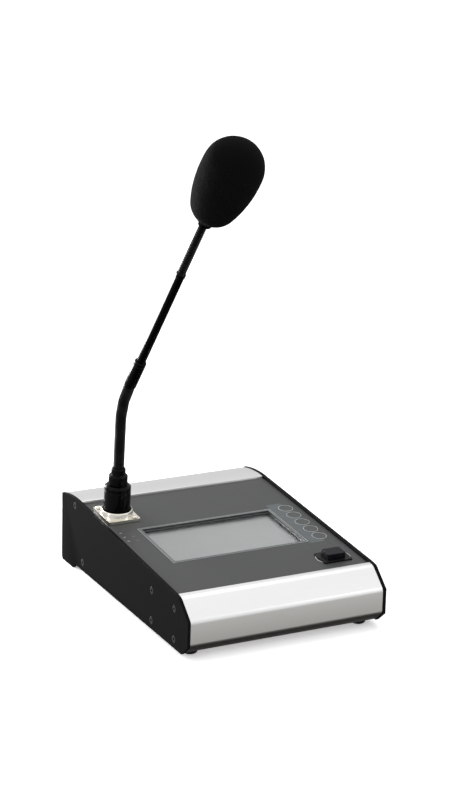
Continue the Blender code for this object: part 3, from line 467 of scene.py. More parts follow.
WELD = 0.002 * MM  # points closer than this become one
FLAT_ANGLE = 0.01  # faces bent less than this, in radians, become one


def from_bmesh(name, made, finish):
    mesh = bpy.data.meshes.new(name)
    made.to_mesh(mesh)
    made.free()
    piece = bpy.data.objects.new(name, mesh)
    bpy.context.scene.collection.objects.link(piece)
    mesh.materials.append(finish)
    return piece


def settle(piece):
    """Applies a piece's modifiers, so that its mesh is plain."""
    graph = bpy.context.evaluated_depsgraph_get()
    mesh = bpy.data.meshes.new_from_object(piece.evaluated_get(graph))
    piece.modifiers.clear()
    old_data = piece.data
    if piece.type == "MESH":
        piece.data = mesh
        bpy.data.meshes.remove(old_data)
        return piece
    made = bpy.data.objects.new(piece.name, mesh)
    bpy.data.objects.remove(piece)
    bpy.context.scene.collection.objects.link(made)
    return made


def fit(piece, body, slot, *nodes):
    """Gives a piece its body and hides the nodes that it stands for. The slot is not used."""
    if nodes:
        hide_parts(*nodes)
    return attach(piece, body)


def cover(node, finish):
    """Gives a node that keeps its own shape a finish."""
    NODES[node].data.materials.clear()
    NODES[node].data.materials.append(finish)


def smooth(piece, angle=32):
    piece.data.shade_smooth()
    piece.data.set_sharp_from_angle(angle=math.radians(angle))


def bevel(piece, width, segments=3, angle=25):
    change = piece.modifiers.new("edges", "BEVEL")
    change.width = width
    change.segments = segments
    change.limit_method = "ANGLE"
    change.angle_limit = math.radians(angle)
    change.use_clamp_overlap = True
    change.harden_normals = True
    change.miter_outer = "MITER_ARC"


def softened(name, node, finish, width, chosen=None, radius=0.0, body="base", slot=""):
    """A node's own shape with its edges rounded, and some edges rounded further."""
    made = bmesh.new()
    made.from_mesh(NODES[node].data)
    bmesh.ops.remove_doubles(made, verts=made.verts, dist=WELD)
    bmesh.ops.dissolve_limit(made, angle_limit=FLAT_ANGLE, verts=made.verts, edges=made.edges)
    if chosen:
        edges = [edge for edge in made.edges if chosen(edge)]
        bmesh.ops.bevel(
            made,
            geom=edges,
            offset=radius,
            segments=8,
            profile=0.5,
            affect="EDGES",
            clamp_overlap=True,
        )
    piece = from_bmesh(name, made, finish)
    smooth(piece)
    bevel(piece, width)
    settle(piece)
    return fit(piece, body, slot, node)


def turned(name, profile, start, axis, finish, steps=96):
    """A closed shape: (radius, height) points turned round an axis that rises from start."""
    made = bmesh.new()
    ring = []
    for radius, height in profile:
        ring.append(made.verts.new((radius, 0, height)))
    edges = [made.edges.new(pair) for pair in zip(ring, ring[1:])]
    if profile[0][0] > 0:
        edges.append(made.edges.new((ring[-1], ring[0])))
    bmesh.ops.spin(
        made,
        geom=ring + edges,
        axis=(0, 0, 1),
        cent=(0, 0, 0),
        angle=2 * math.pi,
        steps=steps,
        use_merge=True,
    )
    bmesh.ops.remove_doubles(made, verts=made.verts, dist=WELD)
    bmesh.ops.recalc_face_normals(made, faces=made.faces)
    turn = axis.to_track_quat("Z", "Y").to_matrix().to_4x4()
    made.transform(Matrix.Translation(start) @ turn)
    piece = from_bmesh(name, made, finish)
    smooth(piece, 28)
    return piece


def rounded(points, radius, steps=5):
    """A profile with each inner corner replaced by an arc of about the radius."""
    found = [points[0]]
    for before, here, after in zip(points, points[1:], points[2:]):
        corner = Vector(here)
        back, ahead = Vector(before) - corner, Vector(after) - corner
        cut = min(radius, back.length * 0.45, ahead.length * 0.45)
        start, end = corner + back.normalized() * cut, corner + ahead.normalized() * cut
        for i in range(steps + 1):
            t = i / steps
            found.append(tuple(start * (1 - t) ** 2 + corner * 2 * t * (1 - t) + end * t * t))
    return found + [points[-1]]


def prism(name, outline, low, high, finish, width=0.0):
    """A flat outline of (across, rearward) points, filled from low to high over the plate."""
    made = bmesh.new()
    bottom = [made.verts.new((x, y, PLATE_TOP + low)) for x, y in outline]
    face = made.faces.new(bottom)
    top = bmesh.ops.extrude_face_region(made, geom=[face])["geom"]
    rise = Vector((0, 0, high - low))
    bmesh.ops.translate(made, vec=rise, verts=[v for v in top if isinstance(v, bmesh.types.BMVert)])
    bmesh.ops.recalc_face_normals(made, faces=made.faces)
    made.transform(PLANE)
    piece = from_bmesh(name, made, finish)
    smooth(piece)
    if width:
        bevel(piece, width)
        settle(piece)
    return piece


def joined(name, pieces):
    """Several pieces as one mesh."""
    made = bmesh.new()
    for piece in pieces:
        made.from_mesh(piece.data)
    finish = pieces[0].data.materials[0]
    for piece in pieces:
        bpy.data.objects.remove(piece)
    whole = from_bmesh(name, made, finish)
    smooth(whole)
    return whole


def circle(radius, count=64):
    steps = [2 * math.pi * i / count for i in range(count)]
    return [(radius * math.cos(a), radius * math.sin(a)) for a in steps]


def band(name, outer, inner, low, high, finish):
    """A ring between two outlines of equally many points, in the control plane."""
    made = bmesh.new()
    loops = []
    for outline, height in ((outer, low), (outer, high), (inner, high), (inner, low)):
        loops.append([made.verts.new((x, y, PLATE_TOP + height)) for x, y in outline])
    for here, there in zip(loops, loops[1:] + loops[:1]):
        for i in range(len(here)):
            after = (i + 1) % len(here)
            made.faces.new((here[i], here[after], there[after], there[i]))
    bmesh.ops.recalc_face_normals(made, faces=made.faces)
    made.transform(PLANE)
    piece = from_bmesh(name, made, finish)
    smooth(piece)
    return piece


def arc(centre, radius, start, end, count):
    """Points along an arc, both ends included."""
    angles = [start + (end - start) * i / count for i in range(count + 1)]
    return [(centre[0] + radius * math.cos(a), centre[1] + radius * math.sin(a)) for a in angles]


def box_outline(left, right, front, back):
    return [(left, front), (right, front), (right, back), (left, back)]


# ---- Repeated pieces ----


def copies_tree():
    """Copies of one piece at each point of a mesh, turned as asked."""
    inputs = [
        ("Points", "NodeSocketGeometry", None),
        ("Copied Piece", "NodeSocketObject", None),
        ("Turn", "NodeSocketRotation", None),
        ("Finish", "NodeSocketMaterial", None),
    ]
    outputs = [("Copies", "NodeSocketGeometry")]
    tree, start, end = begin("copies_at_points", "GeometryNodeTree", inputs, outputs)
    piece = tree.nodes.new("GeometryNodeObjectInfo")
    copies = tree.nodes.new("GeometryNodeInstanceOnPoints")
    wire(start, "Copied Piece", piece, "Object")
    wire(start, "Points", copies, "Points")
    wire(start, "Turn", copies, "Rotation")
    wire(piece, "Geometry", copies, "Instance")
    finished(start, copies, "Instances", end, "Copies")
    return tree


def ribbed_tree():
    """A sleeve along a curve, with ribs all along it."""
    inputs = [
        ("Centre Line", "NodeSocketGeometry", None),
        ("Radius", "NodeSocketFloat", 4 * MM),
        ("Rib Depth", "NodeSocketFloat", 0.5 * MM),
        ("Rib Pitch", "NodeSocketFloat", 1.9 * MM),
        ("Start", "NodeSocketFloat", 0.0),
        ("Sides", "NodeSocketInt", 48),
        ("Finish", "NodeSocketMaterial", None),
    ]
    outputs = [("Sleeve", "NodeSocketGeometry")]
    tree, start, end = begin("ribbed_sleeve", "GeometryNodeTree", inputs, outputs)
    line = tree.nodes.new("GeometryNodeMeshToCurve")
    along = tree.nodes.new("GeometryNodeSplineParameter")
    section = tree.nodes.new("GeometryNodeCurvePrimitiveCircle")
    sweep = tree.nodes.new("GeometryNodeCurveToMesh")
    sweep.inputs["Fill Caps"].default_value = True
    section.inputs["Radius"].default_value = 1.0
    distance = math_node(tree, "ADD", (along, "Length"), (start, "Start"))
    turns = math_node(tree, "DIVIDE", (distance, 0), (start, "Rib Pitch"))
    angle = math_node(tree, "MULTIPLY", (turns, 0), 2 * math.pi)
    wave = math_node(tree, "COSINE", (angle, 0))
    raised = math_node(tree, "MULTIPLY_ADD", (wave, 0), 0.5)
    raised.inputs[2].default_value = 0.5
    valley = math_node(tree, "POWER", (raised, 0), 1.4)
    sunk = math_node(tree, "MULTIPLY", (valley, 0), (start, "Rib Depth"))
    size = math_node(tree, "SUBTRACT", (start, "Radius"), (sunk, 0))
    wire(start, "Centre Line", line, "Mesh")
    wire(start, "Sides", section, "Resolution")
    wire(line, "Curve", sweep, "Curve")
    wire(section, "Curve", sweep, "Profile Curve")
    wire(size, 0, sweep, "Scale")
    finished(start, sweep, "Mesh", end, "Sleeve")
    return tree


COPIES = copies_tree()
RIBBED = ribbed_tree()


def socket_id(tree, name):
    for item in tree.interface.items_tree:
        if item.item_type == "SOCKET" and item.in_out == "INPUT" and item.name == name:
            return item.identifier
    raise KeyError(name)


def grown(name, points, edges, tree, values):
    """A plain mesh, made by a node tree from points and the edges between them."""
    mesh = bpy.data.meshes.new(name)
    mesh.from_pydata([tuple(p) for p in points], edges, [])
    seed = bpy.data.objects.new(name, mesh)
    change = seed.modifiers.new("grown", "NODES")
    change.node_group = tree
    for key, value in values.items():
        change[socket_id(tree, key)] = value
    bpy.context.scene.collection.objects.link(seed)
    piece = settle(seed)
    smooth(piece, 40)
    return piece


def copies(name, pattern, points, turn, finish):
    """Copies of a piece at points, which takes the piece away."""
    values = {"Copied Piece": pattern, "Turn": turn, "Finish": finish}
    made = grown(name, points, [], COPIES, values)
    bpy.data.objects.remove(pattern)
    return made


# ---- Console ----


def along_x(edge, low, high):
    """Whether a straight outer edge runs along X, with its faces bent between the two angles."""
    way = (edge.verts[1].co - edge.verts[0].co).normalized()
    if len(edge.link_faces) != 2 or abs(way.x) < 0.999 or not edge.is_convex:
        return False
    return math.radians(low) < edge.calc_face_angle() < math.radians(high)


FRONT_BEND = 2.2 * MM
EDGE_ROUND = 0.35 * MM
FINE_ROUND = 0.18 * MM


def casing():
    """Side panels, rails, floor and rear panel."""
    for side in ("left", "right"):
        node = f"side_panel_{side}"
        softened(f"{side}_panel", node, BLACK_COAT, EDGE_ROUND, slot="black_powder_coat")
    softened(
        "front_aluminium_rail",
        "front_rail",
        ALUMINIUM,
        FINE_ROUND,
        lambda edge: along_x(edge, 25, 60),
        FRONT_BEND,
        slot="satin_aluminium",
    )
    softened("rear_aluminium_rail", "rear_rail", ALUMINIUM, FINE_ROUND, slot="satin_aluminium")
    softened("floor_extrusion", "bottom_plate", BLACK_COAT, FINE_ROUND, slot="black_powder_coat")
    softened("connector_panel", "rear_panel", BLACK_COAT, FINE_ROUND, slot="black_powder_coat")


HEX_SIZE = 1.15 * MM
HEX_DEPTH = 1.2 * MM
SCREW_SINK = 0.15 * MM  # how far the side screws' heads lie below the panel's face


def screw_pattern(radius, length):
    """A countersunk screw with a six-sided recess, its head's face at height 0."""
    profile = [(0, 0), (radius, 0), (radius, -0.3 * MM), (radius / 2, -radius * 0.8), (0, -length)]
    profile = rounded(profile, 0.12 * MM)
    head = turned("screw", profile, Vector(), UP, BLACK_SCREW, 48)
    made = bmesh.new()
    bmesh.ops.create_cone(
        made, cap_ends=True, segments=6, radius1=HEX_SIZE, radius2=HEX_SIZE, depth=2 * HEX_DEPTH
    )
    cutter = from_bmesh("recess", made, BLACK_SCREW)
    cut = head.modifiers.new("recess", "BOOLEAN")
    cut.operation = "DIFFERENCE"
    cut.object = cutter
    settle(head)
    bpy.data.objects.remove(cutter)
    return head


def side_screws():
    """Six screws in each side panel, with their heads just below its face."""
    for side, sign in (("left", -1), ("right", 1)):
        nodes = [f"side_screw_{side}_{i}" for i in range(1, 7)]
        points = []
        for node in nodes:
            low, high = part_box(node)
            face = (low.x if sign < 0 else high.x) - sign * SCREW_SINK
            points.append((face, (low.y + high.y) / 2, (low.z + high.z) / 2))
        low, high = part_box(nodes[0])
        pattern = screw_pattern((high.y - low.y) / 2, (high.x - low.x) * 0.9)
        turn = (0, sign * math.pi / 2, 0)
        piece = copies(f"{side}_panel_screws", pattern, points, turn, BLACK_SCREW)
        fit(piece, "base", "black_screw", *nodes)


def feet():
    for side in ("left", "right"):
        low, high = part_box(f"front_foot_{side}")
        centre, radius, height = (low + high) / 2, (high.x - low.x) / 2, high.z - low.z
        inner, hollow = radius - 1.4 * MM, 0.4 * MM
        profile = [(0, height), (radius, height), (radius, 1.1 * MM), (inner, 0)]
        profile = rounded(profile + [(inner - MM, hollow), (0, hollow)], 0.5 * MM)
        start = Vector((centre.x, centre.y, low.z))
        foot = turned(f"{side}_rubber_foot", profile, start, UP, RUBBER, 64)
        fit(foot, "base", "rubber", f"front_foot_{side}")


# ---- Rear connectors ----


CONTACT_COUNT = 8
CONTACT_PITCH = 1.02 * MM
CONTACT_SIZE = (0.4 * MM, 7 * MM, 0.35 * MM)
CONTACT_SLOPE = math.radians(-18)
CONTACT_BACK = 7.5 * MM  # from the jack's mouth
CONTACT_DOWN = 5.1 * MM  # from the jack's top


def jacks():
    """Each network jack: its shell, and eight gold contacts in its mouth."""
    for number in (1, 2):
        node = f"network_jack_{number}"
        softened(f"jack_shell_{number}", node, STEEL, FINE_ROUND, slot="zinc_steel")
        low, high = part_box(node)
        made = bmesh.new()
        bmesh.ops.create_cube(made, size=1)
        bmesh.ops.scale(made, vec=CONTACT_SIZE, verts=made.verts)
        bmesh.ops.rotate(made, matrix=Matrix.Rotation(CONTACT_SLOPE, 3, "X"), verts=made.verts)
        bmesh.ops.bevel(made, geom=made.edges[:], offset=0.08 * MM, segments=1, affect="EDGES")
        pattern = from_bmesh("contact", made, GOLD)
        middle_x = (low.x + high.x) / 2
        depth, height = high.y - CONTACT_BACK, high.z - CONTACT_DOWN
        places = [(i - (CONTACT_COUNT - 1) / 2) * CONTACT_PITCH for i in range(CONTACT_COUNT)]
        points = [(middle_x + place, depth, height) for place in places]
        piece = copies(f"jack_contacts_{number}", pattern, points, (0, 0, 0), GOLD)
        fit(piece, "base", "zinc_steel")


def inlet():
    node = "power_inlet"
    softened("power_inlet_shell", node, BLACK_MOULDED, FINE_ROUND, slot="black_plastic")
    low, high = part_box(node)
    radius, depth = 1.12 * MM, 8.9 * MM
    start = Vector(((low.x + high.x) / 2, high.y - depth, (low.z + high.z) / 2))
    profile = [(0, depth), (radius * 0.6, depth), (radius, depth - 0.5 * MM), (radius, 0), (0, 0)]
    profile = rounded(profile, 0.2 * MM)
    pin = turned("power_inlet_pin", profile, start, Vector((0, 1, 0)), NICKEL, 32)
    fit(pin, "base", "nickel")


# ---- Control plate ----

GLASS_LAP = 2 * MM
WINDOW_LINE = 2.1 * MM  # from the window to the line round it
LINE_WIDTH = 0.32 * MM
PRINT_LOW = 0.02 * MM
PRINT_HIGH = 0.09 * MM
# Width of the painted highlight round the window.
EDGE_HIGHLIGHT_WIDTH = 0.8 * MM
BORDER_RIGHT = 1.6 * MM
BORDER_BACK = 2.8 * MM


def grow(edges, by):
    left, right, front, back = edges
    return left - by, right + by, front - by, back + by


def window_edges():
    """The window's left, right, front and back, inside the glass that laps under the plate."""
    left, right = reach("touch_glass", RIGHT)
    front, back = reach("touch_glass", REARWARD)
    return grow((left, right, front, back), -GLASS_LAP)


def plate_and_display():
    softened("control_plate", "top_plate", PLATE_GREY, FINE_ROUND, slot="grey_satin_plate")
    softened("screen_bezel", "display_bezel", BEZEL_GREY, FINE_ROUND, slot="black_plastic")
    cover("touch_glass", GLASS)
    cover("display_module", DISPLAY_BORDER)
    edges = window_edges()
    top = reach("display_module", PLANE_UP)[1] - PLATE_TOP
    outline = box_outline(*edges)
    border = prism("display_border", outline, top + 0.02 * MM, top + 0.08 * MM, DISPLAY_BORDER)
    fit(border, "base", "display_grey")
    left, right, front, back = edges
    outline = box_outline(left, right - BORDER_RIGHT, front, back - BORDER_BACK)
    film = prism("display_film", outline, top + 0.1 * MM, top + 0.16 * MM, DISPLAY_GREY)
    fit(film, "base", "display_grey")
    # A thin band round the window, lighter than the plate: a painted highlight where the window's
    # bevelled edge catches the light.
    outer, inner = box_outline(*grow(edges, EDGE_HIGHLIGHT_WIDTH)), box_outline(*grow(edges, 0.05 * MM))
    rim = band("window_rim", outer, inner, 0.01 * MM, 0.12 * MM, WINDOW_EDGE_HIGHLIGHT)
    fit(rim, "base", "grey_satin_plate")


def prints():
    """Printed lines: a frame round the window, rings round the keys, and marks by the others."""
    edges = window_edges()
    outer = box_outline(*grow(edges, WINDOW_LINE))
    inner = box_outline(*grow(edges, WINDOW_LINE - LINE_WIDTH))
    fit(band("window_line", outer, inner, PRINT_LOW, PRINT_HIGH, LINE_GREY), "base", "key_grey")
    legend()
    legend_dashes()
    key_rings()
    talk_brackets()
    light_marks()


KEYS = [f"function_key_{i}" for i in range(1, 6)]
RING_RADIUS = 5.62 * MM
LEGEND_OVER = 0.72  # how far the legend strip passes the end keys' middles, in key pitches


def legend():
    """The lighter strip between the window and the keys, notched round each key."""
    left = window_edges()[1] + WINDOW_LINE + 0.6 * MM
    centres = [middle(key) for key in KEYS]
    across = centres[0][0]
    pitch = centres[1][1] - centres[0][1]
    over = pitch * LEGEND_OVER
    front, back = centres[0][1] - over, centres[-1][1] + over
    outline = [(left, back), (left, front), (across, front)]
    for _, place in centres:
        for i in range(17):
            angle = -math.pi / 2 - math.pi * i / 16
            out = RING_RADIUS - LINE_WIDTH / 2
            outline.append((across + out * math.cos(angle), place + out * math.sin(angle)))
    outline.append((across, back))
    piece = prism("legend_strip", outline, 0.01 * MM, 0.04 * MM, LEGEND_GREY)
    fit(piece, "base", "grey_satin_plate")


def legend_dashes():
    """Two short lines of legend beside each key."""
    left = window_edges()[1] + WINDOW_LINE + 1.2 * MM
    dash = prism("dash", box_outline(0, 3.6 * MM, 0, 0.35 * MM), PRINT_LOW, PRINT_HIGH, FAINT_GREY)
    points = []
    for _, place in (middle(key) for key in KEYS):
        points += [on_plane(left, place + step, 0) for step in (-1.2 * MM, 0.9 * MM)]
    fit(copies("legend_dashes", dash, points, (0, 0, 0), FAINT_GREY), "base", "key_grey")


def key_rings():
    outer, inner = circle(RING_RADIUS), circle(RING_RADIUS - LINE_WIDTH)
    made = band("ring", outer, inner, PRINT_LOW, PRINT_HIGH, LINE_GREY)
    points = [on_plane(*middle(key), 0) for key in KEYS]
    piece = copies("key_rings", made, points, (0, 0, 0), LINE_GREY)
    fit(piece, "base", "key_grey")


BRACKET_RADIUS = 9.5 * MM
BRACKET_WIDTH = 0.4 * MM
BRACKET_SWEEP = 86
BRACKET_AWAY = 1.9 * MM  # from the talk key's frame to the middle of each mark


def talk_brackets():
    """A curved mark on each side of the talk key."""
    x, y = middle("talk_key_frame")
    left, right = reach("talk_key_frame", RIGHT)
    marks = []
    for sign, start in ((-1, 137), (1, -43)):
        centre = (x + sign * ((right - left) / 2 + BRACKET_AWAY - BRACKET_RADIUS), y)
        first, last = math.radians(start), math.radians(start + BRACKET_SWEEP)
        outline = arc(centre, BRACKET_RADIUS, first, last, 20)
        outline += arc(centre, BRACKET_RADIUS - BRACKET_WIDTH, last, first, 20)
        marks.append(prism("bracket", outline, PRINT_LOW, PRINT_HIGH, MARK_WHITE))
    fit(joined("talk_key_brackets", marks), "base", "key_grey")


LIGHT_PITCH = 7.4 * MM
LENS_RADIUS = 1.05 * MM
LENS_SEAT = 0.6 * MM  # how far the lenses go down into the plate
DASH_AWAY = 5.6 * MM
DASH_LENGTH = 2.6 * MM


def light_marks():
    """The three round lenses of the status lights, and a short dash beside two of them."""
    across = sum(reach("status_light_guide", RIGHT)) / 2
    front, back = reach("status_light_guide", REARWARD)
    centre = (front + back) / 2
    lenses, dashes = [], []
    for i in (-1, 0, 1):
        place = centre + i * LIGHT_PITCH
        start = on_plane(across, place, PLATE_TOP - LENS_SEAT)
        profile = [(0, 0.75 * MM), (LENS_RADIUS, 0.62 * MM), (LENS_RADIUS, 0), (0, 0)]
        profile = rounded(profile, 0.3 * MM)
        lenses.append(turned("lens", profile, start, PLANE_UP, LIGHT_LENS, 32))
        if i == 1:
            continue
        left = across + DASH_AWAY
        outline = box_outline(left, left + DASH_LENGTH, place - 1.1 * MM, place - 0.4 * MM)
        dashes.append(prism("dash", outline, PRINT_LOW, PRINT_HIGH, FAINT_GREY))
    fit(joined("status_lenses", lenses), "base", "light_pipe")
    fit(joined("status_dashes", dashes), "base", "key_grey")
    cover("status_light_guide", LIGHT_LENS)


CAP_RADIUS = 5.2 * MM


def function_keys():
    """Round caps, level with the plate, each with a shallow dish."""
    for number, node in enumerate(KEYS, 1):
        low, high = reach(node, PLANE_UP)
        top = high - low
        profile = [
            (0, top - 0.12 * MM),
            (CAP_RADIUS * 0.75, top - 0.06 * MM),
            (CAP_RADIUS - 0.5 * MM, top),
            (CAP_RADIUS, top - 0.35 * MM),
            (CAP_RADIUS, 0),
            (0, 0),
        ]
        start, profile = on_plane(*middle(node), low), rounded(profile, 0.25 * MM)
        cap = turned(f"round_key_{number}", profile, start, PLANE_UP, KEY_GREY, 64)
        fit(cap, node, "key_grey", node)


def talk_key():
    softened("talk_key_surround", "talk_key_frame", BLACK_MOULDED, 0.3 * MM, slot="black_plastic")
    softened(
        "talk_key_cap", "talk_key", KEY_BLACK, 0.5 * MM, body="talk_key", slot="talk_key_plastic"
    )


# ---- Socket and plug ----


PLUG_AXIS = Vector(JOINTS["plug_pull"]["axis"]).normalized()
SOCKET_POINT = on_plane(*middle("socket_insert"), 0)
PIN_ROOM = 0.3 * MM  # round the pins and above them, inside the sleeve
GRIP_DOWN = 4.4 * MM  # from the sleeve's top to its grip groove
GRIP_DEPTH = 0.3 * MM


def socket():
    softened("socket_flange_plate", "socket_flange", NICKEL, 0.3 * MM, slot="nickel")
    softened("socket_cup", "socket_insert", BLACK_MOULDED, FINE_ROUND, slot="black_plastic")
    softened("latch_button", "latch_tab", NICKEL, 0.25 * MM, body="latch_tab", slot="zinc_steel")
    for number in (1, 2):
        node = f"flange_screw_{number}"
        low, high = reach(node, PLANE_UP)
        radius, shank, height = 2.3 * MM, 1.25 * MM, high - low
        profile = [
            (0, height - 0.75 * MM),
            (0.9 * MM, height - 0.7 * MM),
            (1.0 * MM, height),
            (radius * 0.75, height - 0.05 * MM),
            (radius, height - 0.7 * MM),
            (radius, height - 1.1 * MM),
            (shank, height - 1.2 * MM),
            (shank, 0),
            (0, 0),
        ]
        start, profile = on_plane(*middle(node), low), rounded(profile, 0.2 * MM)
        screw = turned(f"flange_screw_head_{number}", profile, start, PLANE_UP, NICKEL, 48)
        fit(screw, "base", "nickel", node)


def plug():
    """The sleeve with its grip groove, and the stepped collar over it."""
    start, end = ends_of("plug_shell", PLUG_AXIS, SOCKET_POINT)
    height = (end - start).length
    radius = girth("plug_shell", PLUG_AXIS, start)
    bore = girth("plug_pins", PLUG_AXIS, start) + PIN_ROOM
    bore_top = reach("plug_pins", PLUG_AXIS)[1] + PIN_ROOM - start.dot(PLUG_AXIS)
    grip = height - GRIP_DOWN
    profile = [
        (0, height),
        (radius - 1.5 * MM, height),
        (radius, height - 1.4 * MM),
        (radius, grip + 0.35 * MM),
        (radius - GRIP_DEPTH, grip + 0.15 * MM),
        (radius - GRIP_DEPTH, grip - 0.15 * MM),
        (radius, grip - 0.35 * MM),
        (radius, 0.6 * MM),
        (radius - 0.4 * MM, 0),
        (bore, 0),
        (bore, bore_top),
        (0, bore_top),
    ]
    profile = rounded(profile, 0.25 * MM, 3)
    sleeve = turned("plug_sleeve", profile, start, PLUG_AXIS, MICROPHONE_BLACK, 128)
    fit(sleeve, "mic_plug", "microphone_black", "plug_shell")
    start, end = ends_of("plug_collar", PLUG_AXIS, SOCKET_POINT)
    height = (end - start).length
    step, neck, shoulder = girth("plug_collar", PLUG_AXIS, start), 5.5 * MM, height - 5.6 * MM
    profile = [
        (0, height),
        (neck - 0.9 * MM, height),
        (neck, height - 0.9 * MM),
        (neck, shoulder + 0.3 * MM),
        (step - 0.7 * MM, shoulder),
        (step, shoulder - 0.7 * MM),
        (step, 0),
        (0, 0),
    ]
    profile = rounded(profile, 0.35 * MM)
    collar = turned("plug_shoulder", profile, start, PLUG_AXIS, MICROPHONE_BLACK, 96)
    fit(collar, "mic_plug", "microphone_black", "plug_collar")
    cover("plug_pins", NICKEL)


# ---- Gooseneck ----


def hinges(start):
    """The places of the joints whose names start so, from the plug upwards."""
    return [Vector(joint["pos_m"]) for name, joint in JOINTS.items() if name.startswith(start)]


LOWER_HINGES = hinges("lower_flex")
UPPER_HINGES = hinges("upper_flex")
LOWER_BODIES = ["mic_plug"] + [f"lower_link_{i}" for i in range(1, 6)] + ["neck_tube"]
UPPER_BODIES = ["neck_tube"] + [f"upper_link_{i}" for i in range(1, 4)] + ["mic_head"]
NECK_AXIS = (UPPER_HINGES[-1] - UPPER_HINGES[0]).normalized()
HEAD_AXIS = Vector(JOINTS["windscreen_pull"]["axis"]).normalized()
LINE_STEP = 0.16 * MM
RIB_PITCH = 1.9 * MM
RIB_DEPTH = 0.9 * MM
LOWER_RADIUS = 4.35 * MM
UPPER_RADIUS = 3.1 * MM


def curved(points, step):
    """A smooth line through points, sampled about every step, and the index of each point in it."""
    ends = [2 * points[0] - points[1], *points, 2 * points[-1] - points[-2]]
    line, marks = [], []
    for before, here, there, after in zip(ends, ends[1:], ends[2:], ends[3:]):
        count = max(4, round((there - here).length / step))
        marks.append(len(line))
        for i in range(count):
            t = i / count
            line.append(
                0.5
                * (
                    2 * here
                    + (there - before) * t
                    + (2 * before - 5 * here + 4 * there - after) * t * t
                    + (3 * here - before - 3 * there + after) * t * t * t
                )
            )
    marks.append(len(line))
    line.append(points[-1].copy())
    return line, marks


def sleeve_run(name, pivots, bodies, start, end, radius, nodes):
    """A ribbed sleeve in one piece for each hinge, each from the middle of a link to the next."""
    halfway = [(a + b) / 2 for a, b in zip(pivots, pivots[1:])]
    seams = [start, *halfway, end]
    points = [start]
    for hinge, seam in zip(pivots, seams[1:]):
        points += [hinge, seam]
    line, marks = curved(points, LINE_STEP)
    seam_marks = marks[0::2]
    distance = 0.0
    for number, (first, last) in enumerate(zip(seam_marks, seam_marks[1:]), 1):
        stretch = line[first : last + 1]
        edges = [(i, i + 1) for i in range(len(stretch) - 1)]
        values = {
            "Radius": radius,
            "Rib Depth": RIB_DEPTH,
            "Rib Pitch": RIB_PITCH,
            "Start": distance,
            "Sides": 40,
            "Finish": NECK_BLACK,
        }
        piece = grown(f"{name}_sleeve_{number}", stretch, edges, RIBBED, values)
        if number <= len(nodes):
            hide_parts(nodes[number - 1])
        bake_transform(piece)
        distance += sum((b - a).length for a, b in zip(stretch, stretch[1:]))


def gooseneck():
    plug_top = ends_of("plug_collar", PLUG_AXIS, LOWER_HINGES[0])[1]
    ferrule_low, ferrule_high = ends_of("neck_ferrule", NECK_AXIS, UPPER_HINGES[0])
    ring_low, ring_high = ends_of("tube_ring", NECK_AXIS, UPPER_HINGES[0])
    head_low = ends_of("capsule_housing", NECK_AXIS, UPPER_HINGES[0])[0]
    lower_nodes = [f"lower_flex_link_{i}" for i in range(1, 6)]
    upper_nodes = [f"upper_flex_link_{i}" for i in range(1, 4)]
    lower_ends, upper_ends = (plug_top, ferrule_low), (ring_low, head_low)
    sleeve_run("lower_neck", LOWER_HINGES, LOWER_BODIES, *lower_ends, LOWER_RADIUS, lower_nodes)
    sleeve_run("upper_neck", UPPER_HINGES, UPPER_BODIES, *upper_ends, UPPER_RADIUS, upper_nodes)
    ferrule(ferrule_low, (ferrule_high - ferrule_low).length)
    tube(ferrule_high, (ring_low - ferrule_high).length)
    ring(ring_low, (ring_high - ring_low).length)


def ferrule(start, length):
    """The sleeve that joins the lower flexible neck to the tube, with a groove near its top."""
    radius = girth("neck_ferrule", NECK_AXIS, start)
    groove = radius - 0.3 * MM
    profile = [
        (0, length),
        (radius - 0.5 * MM, length),
        (radius, length - 0.9 * MM),
        (radius, length - 2.6 * MM),
        (groove, length - 2.9 * MM),
        (groove, length - 3.4 * MM),
        (radius, length - 3.7 * MM),
        (radius, 1.1 * MM),
        (radius - 0.5 * MM, 0),
        (0, 0),
    ]
    profile = rounded(profile, 0.3 * MM)
    piece = turned("middle_ferrule", profile, start, NECK_AXIS, MICROPHONE_BLACK)
    fit(piece, "neck_tube", "microphone_black", "neck_ferrule")


TUBE_TUCK = 6 * MM  # how far the tube goes down into the ferrule


def tube(start, length):
    radius = girth("neck_tube", NECK_AXIS, start)
    profile = [(0, length), (radius - 0.3 * MM, length), (radius, length - 0.4 * MM)]
    profile = rounded(profile + [(radius, -TUBE_TUCK), (0, -TUBE_TUCK)], 0.2 * MM)
    piece = turned("straight_tube", profile, start, NECK_AXIS, MICROPHONE_BLACK)
    fit(piece, "neck_tube", "microphone_black", "neck_tube")


def ring(start, length):
    """The ring on the tube's end, closed below so that the neck grows out of it."""
    outer, lip = girth("tube_ring", NECK_AXIS, start), 0.35 * MM
    profile = [(0, length - lip), (outer - 2 * lip, length - lip), (outer - lip, length)]
    profile += [(outer, length - lip), (outer, lip), (outer - lip, 0), (0, 0)]
    piece = turned("tube_end_ring", profile, start, NECK_AXIS, MICROPHONE_BLACK)
    fit(piece, "neck_tube", "microphone_black", "tube_ring")


# ---- Head ----


CAPSULE_ROOM = 0.3 * MM
POCKET_DEPTH = 9.3 * MM
COLLAR_STEP = 1.1 * MM


